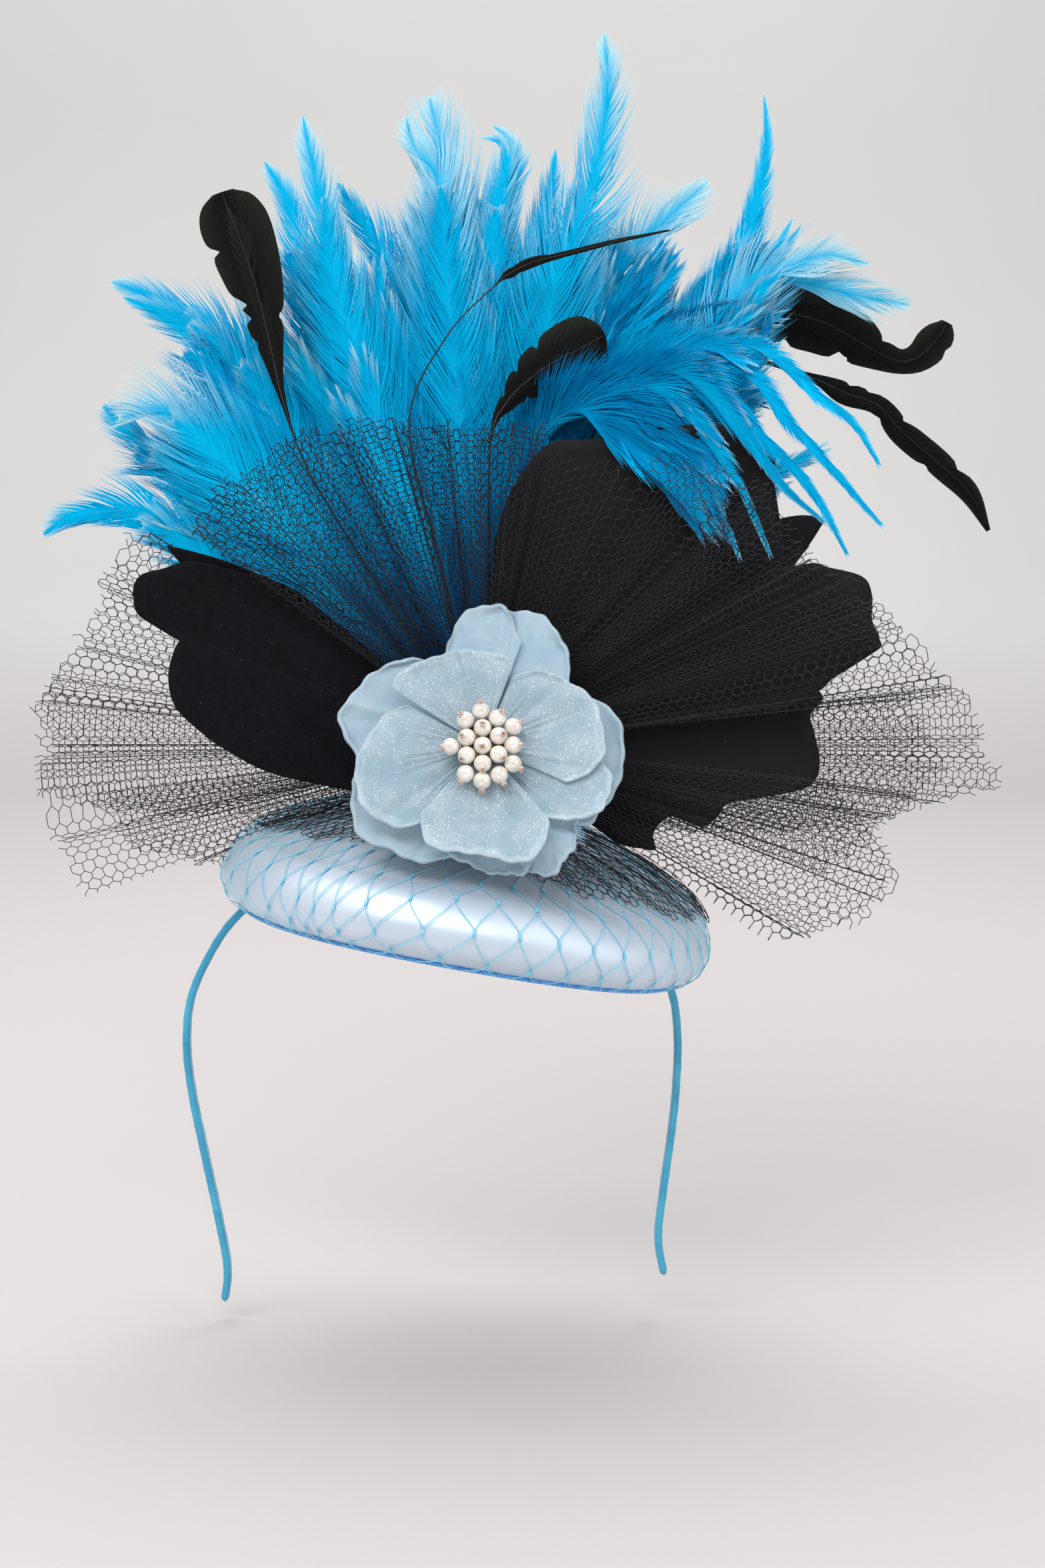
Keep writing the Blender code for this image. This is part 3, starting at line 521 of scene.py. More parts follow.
class MaterialDraft(NodeDraft):
    """A Principled material in the making."""

    def __init__(self, name: str, **values: float | tuple) -> None:
        """Make the material and set its shader's own sockets.

        Args:
            name: The material's name.
            **values: Shader values, named like their sockets with _ for a space.
        """
        self.material = bpy.data.materials.new(name)
        self.material.use_nodes = True
        super().__init__(self.material.node_tree)
        self.shader = self.tree.nodes["Principled BSDF"]
        for key, value in values.items():
            self.shader.inputs[key.replace("_", " ").title().replace("Ior", "IOR")].default_value = value

    def mark(self, name: str, output: str = "Fac") -> bpy.types.NodeSocket:
        """Return one of the mesh's marks."""
        return self.add("Attribute", attribute_name=name).outputs[output]

    def object_place(self) -> bpy.types.NodeSocket:
        """Return the place on the object, in metres."""
        return self.add("TexCoord").outputs["Object"]

    def feed(self, source: bpy.types.NodeSocket, socket: str) -> None:
        """Link a socket of the shader."""
        self.tree.links.new(source, self.shader.inputs[socket])

    def mottled(self, scale: float, low: Colour, high: Colour) -> bpy.types.bpy_prop_collection:
        """Return the outputs of a drift between two colours over the object."""
        place = self.object_place()
        return self.effect(
            Effect.MOTTLE, Place=place, Scale=scale, Low=linear(low), High=linear(high)
        ).outputs

    def dressed(self, colour: object, rough: object, height: object, relief: float) -> bpy.types.Material:
        """Feed the shader, and return the material.

        Args:
            colour: Socket of the base colour.
            rough: Socket of the roughness.
            height: Socket of a height from 0 to 1.
            relief: What a height of 1 stands for, in metres.

        Returns:
            The finished material.
        """
        bump = self.add("Bump", {"Height": height, "Distance": relief, "Strength": 1.0})
        for source, socket in ((colour, "Base Color"), (rough, "Roughness"), (bump.outputs[0], "Normal")):
            self.feed(source, socket)
        return self.material


@dataclass(frozen=True)
class ClothFinish:
    """A woven cloth: satin, organza, felt or plain, by its values."""

    name: str
    low: Colour
    high: Colour
    roughness: float
    thread: float = 0.35
    twill: float = 1.0
    relief: float = 0.00006
    mottle: float = 60.0
    nap: float = 0.0
    sheen: float = 0.2
    coat: float = 0.0
    edge: Colour = (255, 255, 255)
    fleck: Colour = (255, 255, 255)
    fleck_scale: float = 900.0
    fleck_size: float = 0.2
    fleck_share: float = 0.0
    openness: float = 0.0
    glow: float = 0.0
    metallic: float = 0.0
    gloss: float = 0.5

    def material(self) -> bpy.types.Material:
        """Return the finished material."""
        draft = MaterialDraft(
            self.name,
            Sheen_Weight=self.sheen,
            Sheen_Roughness=0.4,
            Coat_Weight=self.coat,
            Coat_Roughness=0.25,
            Metallic=self.metallic,
            Specular_Ior_Level=self.gloss,
        )
        place = draft.object_place()
        hem = draft.mark("hem")
        colour = draft.mottled(self.mottle, self.low, self.high)
        weave = draft.effect(
            Effect.WEAVE, Place=draft.mark("cloth", "Vector"), Thread=self.thread, Twill=self.twill,
        )
        # The weave's raised crowns are mixed toward the lighter colour: a painted highlight on the threads
        crown_highlight = draft.math("MULTIPLY", weave.outputs["Height"], 0.35)
        shaded = draft.mix(crown_highlight, colour["Color"], linear(self.high))
        shaded = draft.mix(draft.math("MULTIPLY", hem, 0.2), shaded, linear(self.edge))
        height = weave.outputs["Height"]
        rough = draft.line(colour["Value"], 0.12, self.roughness - 0.06)
        if self.nap > 0:
            nap = draft.add("TexNoise", {"Vector": place, "Scale": 2600.0, "Detail": 6.0, "Roughness": 0.75})
            height = draft.math("ADD", height, draft.math("MULTIPLY", nap.outputs[0], self.nap))
        # Flecks: lint on the black cloths; on the flower, glitter whose white colour is partly a painted
        # glint
        if self.fleck_share > 0:
            share = draft.math("MULTIPLY", colour["Value"], self.fleck_share)
            flecks = draft.effect(
                Effect.FLECKS, Place=place, Scale=self.fleck_scale, Share=share, Size=self.fleck_size,
            )
            shaded = draft.mix(flecks.outputs["Mask"], shaded, linear(self.fleck))
            rough = draft.math("SUBTRACT", rough, draft.math("MULTIPLY", flecks.outputs["Mask"], 0.25))
            # The glow makes the glitter flecks emit light: a painted sparkle
            if self.glow > 0:
                sparkle = draft.mix(flecks.outputs["Mask"], (0.0, 0.0, 0.0, 1.0), linear(self.fleck))
                draft.feed(sparkle, "Emission Color")
                draft.shader.inputs["Emission Strength"].default_value = self.glow
        if self.openness > 0:
            gaps = draft.math("MULTIPLY", draft.stretch(weave.outputs["Height"], 0.2, 0.6), self.openness)
            single = draft.math("MULTIPLY", gaps, draft.line(hem, -0.5, 1.0))
            draft.feed(draft.math("SUBTRACT", 1.0, single), "Alpha")
        return draft.dressed(shaded, rough, height, self.relief)


@dataclass(frozen=True)
class FeatherFinish:
    """Feather barbs, coloured by where they lie on the feather, with a painted shade near the root."""

    name: str
    shade_colour: Colour
    body: Colour
    pale: Colour
    roughness: float
    sheen: float
    coat: float = 0.0
    gloss: float = 0.5

    def material(self) -> bpy.types.Material:
        """Return the finished material."""
        draft = MaterialDraft(
            self.name,
            Sheen_Weight=self.sheen,
            Sheen_Roughness=0.5,
            Coat_Weight=self.coat,
            Coat_Roughness=0.3,
            Specular_Ior_Level=self.gloss,
        )
        marks = {name.title(): draft.mark(name) for name in ("along", "rise", "tone", "streak")}
        colours = {name.title(): linear(getattr(self, name)) for name in ("shade_colour", "body", "pale")}
        colour = draft.effect(Effect.BARBS, **marks, **colours)
        place = draft.object_place()
        noise = draft.add("TexNoise", {"Vector": place, "Scale": 1400.0, "Detail": 3.0})
        rough = draft.line(noise.outputs[0], 0.2, self.roughness - 0.1)
        height = draft.math("ADD", colour.outputs["Streaks"], noise.outputs[0])
        return draft.dressed(colour.outputs["Color"], rough, height, FIBRE_RELIEF)


@dataclass(frozen=True)
class ThreadFinish:
    """Bare thread or cord: twisted fibres with a slight shine."""

    name: str
    low: Colour
    high: Colour
    roughness: float
    sheen: float = 0.3

    def material(self) -> bpy.types.Material:
        """Return the finished material."""
        draft = MaterialDraft(self.name, Sheen_Weight=self.sheen, Sheen_Roughness=0.4)
        colour = draft.mottled(500.0, self.low, self.high)
        fibre = draft.add("TexNoise", {"Vector": draft.object_place(), "Scale": 4000.0, "Detail": 2.0})
        rough = draft.line(fibre.outputs[0], 0.2, self.roughness - 0.1)
        return draft.dressed(colour["Color"], rough, fibre.outputs[0], FIBRE_RELIEF)


@dataclass(frozen=True)
class BeadFinish:
    """Pearls, seed beads and gilt: a hard gloss over a softly uneven body."""

    name: str
    low: Colour
    high: Colour
    roughness: float
    metallic: float = 0.0
    coat: float = 0.0
    clear: float = 0.0
    depth: float = 0.00004

    def material(self) -> bpy.types.Material:
        """Return the finished material."""
        draft = MaterialDraft(
            self.name,
            Metallic=self.metallic,
            Coat_Weight=self.coat,
            Coat_Roughness=0.08,
            Transmission_Weight=self.clear,
            Ior=1.5,
        )
        colour = draft.mottled(320.0, self.low, self.high)
        rough = draft.line(colour["Value"], 0.1, self.roughness - 0.05)
        return draft.dressed(colour["Color"], rough, colour["Value"], self.depth)


SATIN = ClothFinish(
    "satin", (206, 222, 238), (220, 232, 245), 0.38, 0.34, 1.0, 0.00002, 16.0, 0.0, 0.0, 0.1, metallic=0.4,
)
BINDING = ThreadFinish("binding", (50, 140, 220), (105, 185, 245), 0.42)
BAND_SATIN = ClothFinish(
    "band_satin", (30, 150, 195), (70, 188, 222), 0.36, 0.3, 1.0, 0.00005, 90.0, coat=0.2,
)
BLACK_FELT = ClothFinish(
    "black_felt", (13, 13, 16), (25, 25, 30), 0.95, 0.5, 0.2, 0.0002, 320.0, 1.6, 0.02,
    fleck=(90, 92, 100), fleck_scale=1100.0, fleck_size=0.16, fleck_share=0.07, gloss=0.12,
)
BLACK_CLOTH = ClothFinish(
    "black_cloth", (13, 13, 16), (23, 23, 27), 0.72, 0.32, 0.6, 0.00004, 120.0, 0.3, 0.02,
    fleck=(130, 132, 140), fleck_scale=900.0, fleck_size=0.14, fleck_share=0.03, gloss=0.2,
)
BLACK_NET = ThreadFinish("black_net", (9, 9, 13), (26, 28, 34), 0.6, 0.0)
VEIL_THREAD = ThreadFinish("veil_thread", (112, 206, 238), (150, 228, 248), 0.45, 0.3)
# Feather colours: the painted shade near the root, then the body colour, then the pale tip colour
HACKLE = FeatherFinish("hackle", (0, 94, 160), (0, 182, 230), (185, 230, 238), 0.75, 0.0, 0.0, 0.02)
# The coque's greenish pale colour is a painted sheen, and its first colour a painted shade near the root
COQUE = FeatherFinish("coque", (2, 2, 3), (12, 12, 13), (34, 38, 28), 0.5, 0.0, 0.02, 0.08)
QUILL = ThreadFinish("quill", (14, 14, 15), (40, 40, 38), 0.35, 0.0)
BLUE_QUILL = ThreadFinish("blue_quill", (0, 130, 190), (10, 170, 215), 0.5, 0.0)
# The flower's white flecks are glitter with painted glints, and their glow is a painted sparkle
SILK = ClothFinish(
    "flower_silk", (146, 176, 194), (174, 197, 211), 0.55, 0.28, 0.4, 0.00004, 90.0, 0.2, 0.3,
    fleck=(
        250, 252, 255
    ), fleck_scale=1500.0, fleck_size=0.2, fleck_share=0.05, glow=0.25, edge=(190, 210, 221),
)
ORGANZA = ClothFinish(
    "flower_organza", (154, 184, 200), (186, 207, 218), 0.45, 0.5, 0.0, 0.00004, 90.0, 0.1, 0.4,
    fleck=(255, 255, 255), fleck_scale=1900.0, fleck_size=0.24, fleck_share=0.55, openness=0.62, glow=0.7,
    edge=(210, 226, 233),
)
GILT = BeadFinish("gilt", (112, 88, 54), (178, 150, 104), 0.4, 0.8)
PEARL = BeadFinish("pearl", (222, 214, 202), (244, 240, 233), 0.22, 0.12, coat=1.0, depth=0.00001)
SEED = BeadFinish("seed_glass", (196, 160, 140), (232, 208, 190), 0.12, coat=0.4, clear=0.45)


@dataclass
class Studio:
    """The plain pale ground, the soft lights and the camera."""

    floor_height: float = -0.163
    floor_depth: float = 1.6
    curve: float = 0.7
    wall_height: float = 3.2
    half_width: float = 3.5
    lens_pixels: float = 4140.0
    frame_height: float = 2352.0
    sensor: float = 36.0

    def build(self) -> None:
        """Set up the whole studio."""
        bpy.context.scene.view_settings.view_transform = "Standard"
        self.build_ground()
        self.build_lights()
        self.build_camera()

    def build_ground(self) -> None:
        """Make a floor that curves up into a backdrop behind the object."""
        line = [(-2.5, 0.0), (self.floor_depth, 0.0)]
        for step in range(1, 17):
            turn = math.pi / 2 * step / 16
            line.append((self.floor_depth + self.curve * math.sin(turn), self.curve * (1 - math.cos(turn))))
        line.append((self.floor_depth + self.curve, self.wall_height))
        points = [
            (x, y, z + self.floor_height) for y, z in line for x in (-self.half_width, self.half_width)
        ]
        faces = [(2 * i, 2 * i + 1, 2 * i + 3, 2 * i + 2) for i in range(len(line) - 1)]
        mesh = bpy.data.meshes.new("ground")
        mesh.from_pydata(points, [], faces)
        mesh.shade_smooth()
        ground = bpy.data.objects.new("ground", mesh)
        draft = MaterialDraft("ground_paper")
        paper = draft.mottled(0.7, (206, 206, 206), (214, 213, 211))
        rough = draft.line(paper["Value"], 0.1, 0.8)
        height = draft.add("SeparateXYZ", {0: draft.object_place()}).outputs[2]
        upright = draft.stretch(height, self.floor_height, self.floor_height + 0.16)
        draft.feed(draft.mix(upright, linear((199, 194, 193)), paper["Color"]), "Base Color")
        draft.feed(rough, "Roughness")
        mesh.materials.append(draft.material)
        bpy.context.scene.collection.objects.link(ground)

    def build_lights(self) -> None:
        """Hang large soft lights: key on the left, fill, top and one for the ground."""
        world = bpy.data.worlds.new("soft_room")
        world.use_nodes = True
        background = world.node_tree.nodes["Background"]
        background.inputs["Color"].default_value = (0.98, 0.98, 1.0, 1.0)
        background.inputs["Strength"].default_value = 0.47
        bpy.context.scene.world = world
        middle, ground = (0.0, 0.0, 0.04), (0.0, 1.6, 0.3)
        # Each light: name, place, target, width, height, power
        lights = [
            ("key", (-0.45, -1.0, 0.95), middle, 1.5, 0.4, 15.0),
            ("fill", (1.1, -0.9, 0.4), middle, 1.0, 1.0, 5.0),
            ("top", (0.0, 0.2, 1.3), middle, 0.9, 0.9, 5.0),
            ("ground_light", (0.0, 0.9, 1.6), ground, 1.6, 1.6, 22.0),
        ]
        for name, place, target, width, height, power in lights:
            data = bpy.data.lights.new(name, "AREA")
            data.shape = "RECTANGLE"
            data.size = width
            data.size_y = height
            data.energy = power
            light = bpy.data.objects.new(name, data)
            light.location = place
            self.aim(light, np.array(target))
            bpy.context.scene.collection.objects.link(light)

    @staticmethod
    def aim(light: bpy.types.Object, target: Array) -> None:
        """Turn a light towards a point."""
        way = target - np.array(light.location)
        flat = math.hypot(way[0], way[1])
        light.rotation_euler = Euler((math.atan2(flat, -way[2]), 0.0, math.atan2(-way[0], way[1])))

    def build_camera(self) -> None:
        """Put the camera where the front view is seen from."""
        data = bpy.data.cameras.new("camera")
        data.sensor_width = self.sensor
        data.lens = self.lens_pixels / self.frame_height * self.sensor
        data.clip_start = 0.01
        camera = bpy.data.objects.new("camera", data)
        camera.location = FRONT_VIEW.eye() * MM
        camera.rotation_euler = Euler((math.pi / 2 - FRONT_VIEW.drop, 0.0, 0.0))
        bpy.context.scene.collection.objects.link(camera)
        bpy.context.scene.camera = camera


@dataclass
class SatinBase:
    """The rolled and domed shell that is covered in satin, with its edge and its veil."""

    # Half width and half depth of the base, and radius of its roll
    half_x: float = 80.0
    half_y: float = 70.0
    roll: float = 11.5
    wall: float = 3.0
    dome_rise: float = 9.0
    inner_rise: float = 7.0
    bend_x: float = 13.0
    bend_y: float = 5.0
    centre: tuple[float, float, float] = (10.0, -4.0, -22.3)
    tilt_forward: float = math.radians(7.0)
    tilt_side: float = math.radians(10.4)
    segments: int = 240
    binding_stations: int = 560
    binding_sides: int = 10
    binding_twists: int = 118
    pucker: float = 0.06
    puckers: int = 76

    def place(self, points: Array) -> Array:
        """Tilt and move points of the base to where it sits on the head."""
        turn = np.array(Euler((self.tilt_forward, self.tilt_side, 0.0)).to_matrix())
        return points @ turn.T + np.array(self.centre)

    def bent(self, x: Array, y: Array, z: Array) -> Array:
        """Bend flat points of the base to the curve of the head."""
        sag = self.bend_x * (x / self.half_x) ** 2 + self.bend_y * (y / self.half_y) ** 2
        return np.stack(np.broadcast_arrays(x, y, z - sag), axis=-1)

    def on_roll(self, turn: Array, angle: Array, radius: float) -> Array:
        """Return points on the roll: turn is -90 degrees below and 90 degrees on top."""
        out = radius * np.cos(turn) - self.roll
        rise = self.roll + radius * np.sin(turn)
        return self.bent((self.half_x + out) * np.cos(angle), (self.half_y + out) * np.sin(angle), rise)

    def on_dome(self, share: Array, angle: Array, rise: float, drop: float) -> Array:
        """Return points on the dome: share is 0 at the roll's top and 1 at the middle."""
        x = (self.half_x - self.roll) * (1 - share) * np.cos(angle)
        y = (self.half_y - self.roll) * (1 - share) * np.sin(angle)
        return self.bent(x, y, 2 * self.roll - drop + rise * (1 - (1 - share) ** 2))

    def outer_point(self, run: Array, angle: Array, lift: float = 0.0) -> Array:
        """Return placed points of the outer face, by the distance up from the roll's foot."""
        run, angle = np.broadcast_arrays(run, angle)
        half_turn = math.pi * self.roll
        turn = np.clip(run / self.roll, 0, math.pi) - math.pi / 2
        share = np.clip((run - half_turn) / (self.half_x - self.roll), 0, 1)
        low = self.on_roll(turn, angle, self.roll + lift)
        high = self.on_dome(share, angle, self.dome_rise, -lift)
        return self.place(np.where((run < half_turn)[..., None], low, high))

    def raised(self, points: Array, gap: float) -> Array:
        """Return placed points, lifted where they lie less than a gap above the dome."""
        turn = np.array(Euler((self.tilt_forward, self.tilt_side, 0.0)).to_matrix())
        local = (points - np.array(self.centre)) @ turn
        x, y = local[..., 0], local[..., 1]
        out = np.minimum(np.hypot(x / (self.half_x - self.roll), y / (self.half_y - self.roll)), 1.0)
        dome = self.bent(x, y, 2 * self.roll + self.dome_rise * (1 - out**2))[..., 2]
        local[..., 2] = np.maximum(local[..., 2], dome + gap)
        return self.place(local)

    def build(self) -> None:
        """Build the shell, its edge and its veil."""
        self.build_shell()
        self.build_binding()
        self.build_veil()

    def build_shell(self) -> None:
        """Build the satin cover, puckered where it is drawn over the edge."""
        angle = circle_angles(self.segments)
        inner = self.roll - self.wall
        rows = [
            self.on_dome(
                np.full_like(angle, s), angle, self.dome_rise, 0.0
            ) for s in np.linspace(0.999, 0, 22)
        ]
        for turn in np.linspace(math.pi / 2, -math.pi / 2, 40)[1:]:
            fold = smooth_step(np.full_like(angle, -turn), 0.15, 1.4) * self.pucker
            ripple = np.sin(self.puckers * angle + 2.2 * np.sin(5 * angle)) * fold
            rows.append(self.on_roll(np.full_like(angle, turn), angle, self.roll + ripple - fold))
        for turn in np.linspace(-math.pi / 2, math.pi / 2, 20)[1:]:
            rows.append(self.on_roll(np.full_like(angle, turn), angle, inner))
        rows += [
            self.on_dome(np.full_like(angle, s), angle, self.inner_rise, self.wall)
            for s in np.linspace(0, 0.999, 16)[1:]
        ]
        points = self.place(np.stack(rows))
        steps = np.linalg.norm(np.diff(points, axis=0), axis=-1)
        run = np.vstack([np.zeros(self.segments), np.cumsum(steps, axis=0)])
        around = angle * (self.half_x + self.half_y) / 2
        cloth = np.stack([np.broadcast_to(around, run.shape), run, np.zeros_like(run)], axis=-1)
        draft = MeshDraft()
        draft.add_grid(points, (False, True), cloth=cloth)
        draft.add_caps(len(rows), self.segments)
        piece = draft.build("satin_base", SATIN.material(), "satin", ["base_shell"])

    def build_binding(self) -> None:
        """Build the twisted cord that is sewn round the roll's foot."""
        count, sides = self.binding_stations, self.binding_sides
        angle = circle_angles(count)
        turn = np.full(count, math.radians(-62.0))
        path = self.place(self.on_roll(turn, angle, self.roll + 0.4))
        spin = circle_angles(sides)
        twist = np.arange(count) * math.tau * self.binding_twists / count
        radius = 0.55 + 0.22 * np.abs(np.cos(spin[None] - twist[:, None]))
        draft = MeshDraft()
        draft.add_tube(path, radius, sides, np.array([0.0, 0.0, 1.0]), ring=True)
        draft.build("binding_cord", BINDING.material(), "binding", ["base_binding"])

    def build_veil(self) -> None:
        """Build the open net that lies over the satin, with a small bow at each crossing."""
        cells = 42
        rows = 10
        first_row = 3.0
        row_height = 9.8
        lift = 0.5
        rng = np.random.default_rng(7)
        step = math.tau / cells
        gather_angle = math.radians(234.0)
        gather_run = 4.0
        reach = 36.0
        girth = 76.0

        def node(column: Array, row: Array) -> tuple[Array, Array]:
            """Return the angle and run of a crossing, drawn in near the gather."""
            angle = (column + 0.5 * (row % 2)) * step
            run = first_row + row * row_height
            column = np.mod(column, cells)
            angle = angle + 0.011 * np.sin(column * 12.9 + row * 4.7)
            run = run + 0.8 * np.cos(column * 7.3 + row * 2.1)
            away = (np.mod(angle - gather_angle + math.pi, math.tau) - math.pi) * girth
            near = np.exp(-((away**2 + (run - gather_run) ** 2) / reach**2))
            pull = 1 - 0.8 * near
            return gather_angle + away * pull / girth, gather_run + (run - gather_run) * pull

        draft = MeshDraft()
        column, row = np.meshgrid(np.arange(cells), np.arange(rows), indexing="ij")
        knot = 0.75
        for way in (0, 1):
            low_angle, low_run = node(column, row)
            shift = np.where(row % 2 == 1, way, way - 1)
            high_angle, high_run = node(column + shift, row + 1)
            gap = np.mod(high_angle - low_angle + math.pi, math.tau) - math.pi
            low_run, high_run = low_run + knot, high_run - knot
            bulge = (0.08 + 0.1 * rng.normal(size=gap.shape)) * np.sign(gap)
            line = []
            for share in np.linspace(0, 1, 8):
                swing = share - 0.5 * math.sin(math.tau * share) * 0.06
                angle = low_angle + gap * swing + bulge * step * 0.25 * math.sin(math.pi * share)
                run = low_run + (high_run - low_run) * share
                line.append(
                    self.outer_point(run, angle, lift + 0.3 * math.sin(math.pi * share)).reshape(-1, 3),
                )
            for start, end in zip(line, line[1:]):
                draft.add_rods(start, end + (end - start) * 0.06, 0.18, 3)
        knot_angle, knot_run = node(*np.meshgrid(np.arange(cells), np.arange(rows + 1), indexing="ij"))
        centre = self.outer_point(knot_run, knot_angle, lift + 0.12).reshape(-1, 3)
        above = self.outer_point(knot_run + 1.0, knot_angle, lift + 0.12).reshape(-1, 3)
        beside = self.outer_point(knot_run, knot_angle + 0.013, lift + 0.12).reshape(-1, 3)
        up = unit(above - centre)
        side = unit(beside - centre)
        for turn in (0.24, -0.24):
            jitter = turn + rng.normal(0, 0.06, len(centre))
            way = up * np.cos(jitter)[:, None] + side * np.sin(jitter)[:, None]
            draft.add_rods(centre - way * (knot + 0.25), centre + way * (knot + 0.25), 0.26, 4)
        for turn in (0.95, -0.95):
            way = up * math.cos(turn) + side * math.sin(turn)
            draft.add_rods(centre - way * 0.5, centre + way * 0.5, 0.27, 4)
        draft.build("veil", VEIL_THREAD.material(), "binding", [])


@dataclass
class Headband:
    """The narrow band that is wrapped in satin ribbon, an arch with tips that turn out."""

    half_width: float = 3.0
    half_thickness: float = 1.35
    stations: int = 400
    sides: int = 20
    wrap: float = 7.2
    # Middle of the band, (x, z), from the left tip over the crown to the right tip
    route: Outline = (
        (-71, -157), (-70, -145), (-73, -127), (-77, -107), (-81, -86), (-82.5, -70), (-81, -55),
        (-75, -41), (-66, -28), (-49, -14), (-25, -2), (0, 1.35), (25, -2), (48, -12.5), (66, -31.6),
        (76.4, -51), (79, -67), (78.6, -85), (77, -101), (74.6, -119), (73, -135), (75, -148),
    )

    def build(self) -> None:
        """Build the band with a step at the edge of each turn of ribbon."""
        line = smooth_curve(self.route, self.stations)
        length = np.linalg.norm(np.diff(line, axis=0), axis=1).sum()
        run = np.linspace(0, length, self.stations)
        along = unit(np.gradient(line, axis=0))
        out = np.stack([-along[:, 1], np.zeros(self.stations), along[:, 0]], axis=1)
        middle = np.stack([line[:, 0], np.zeros(self.stations), line[:, 1]], axis=1)
        turn = circle_angles(self.sides)
        across = np.sign(np.cos(turn)) * np.abs(np.cos(turn)) ** 0.5 * self.half_width
        rise = np.sign(np.sin(turn)) * np.abs(np.sin(turn)) ** 0.7 * self.half_thickness
        phase = run[:, None] / self.wrap + 0.32 * across[None] / self.half_width
        lap = phase - np.floor(phase)
        swell = 0.93 + 0.08 * (1 - lap) + 0.02 * np.sin(run[:, None] * 1.7 + across[None])
        end = np.minimum(run, length - run)
        cap = np.sqrt(np.clip(end / 1.6, 0.02, 1))[:, None]
        rise_all = rise[None] * swell * cap
        across_all = across[None] * (0.98 + 0.02 * (1 - lap)) * cap
        points = middle[:, None] + out[:, None] * rise_all[..., None]
        points = points + np.array([0.0, 1.0, 0.0]) * across_all[..., None]
        girth = np.broadcast_to(turn * 2.2, lap.shape)
        cloth = np.stack([girth, np.broadcast_to(run[:, None], lap.shape), np.zeros_like(lap)], axis=-1)
        draft = MeshDraft()
        draft.add_grid(points, (False, True), cloth=cloth)
        piece = draft.build("wrapped_headband", BAND_SATIN.material(), "band_satin", ["headband"])
        LOG.info("%s is %.0f mm long", piece.name, length)


@dataclass
class Petal:
    """A black petal or leaf: its outline, layer, wave, and how far its rim curls."""

    node: str
    layer: Layer
    wave: float
    curl: float
    outline: Outline
    columns: int = 64
    rows: int = 20
    creases: int = 4
    thickness: float = 0.7

    def build(self, finish: bpy.types.Material, slot: str, seed: int) -> None:
        """Build the petal as a thin shell with a curled rim and soft creases."""
        angles, reaches = polar_rim(self.outline, self.columns)
        rng = np.random.default_rng(seed)
        share = np.linspace(0, 1, self.rows)[None] ** 0.85
        turn = np.linspace(0, 1, self.columns)[:, None]
        distance = ROOT_RADIUS + (reaches[:, None] - ROOT_RADIUS) * share
        depth = self.layer.depth(distance) + np.sin(math.tau * 1.5 * turn) * self.wave * share
        for _ in range(self.creases):
            place, width, height = rng.uniform(0.1, 0.9), rng.uniform(0.03, 0.09), rng.uniform(-0.7, 0.7)
            depth = depth + height * np.exp(-(((turn - place) / width) ** 2)) * share
        lip = smooth_step(share, 0.9, 1.0)
        drift = 0.55 + 0.45 * np.sin(math.tau * (turn * 2.2 + rng.uniform()))
        depth = depth - self.curl * drift * lip
        angle = np.broadcast_to(angles[:, None], distance.shape)
        middle, cloth = FRONT_VIEW.spread(distance, angle, depth)
        draft = MeshDraft()
        draft.add_shell(middle[::-1], self.thickness, cloth=cloth[::-1])
        piece = draft.build(f"{self.node}_cut", finish, slot, [self.node])


def hexagon_pairs(number: Array) -> list[tuple[Array, Array]]:
    """Return the points that a net's threads join, as pairs of arrays.

    Args:
        number: Each point's number, by row, column, and left or right end.

    Returns:
        The first and last points of the cross threads, and of both slanting ones.
    """
    even = (np.arange(len(number) - 1) % 2 == 0)[:, None]
    right = np.where(even, number[1:, :, 0], np.roll(number[1:, :, 0], -1, axis=1))
    left = np.where(even, np.roll(number[1:, :, 1], 1, axis=1), number[1:, :, 1])
    pairs = [(number[:, :, 0], number[:, :, 1]), (number[:-1, :, 1], right), (number[:-1, :, 0], left)]
    return [(first.ravel(), second.ravel()) for first, second in pairs]


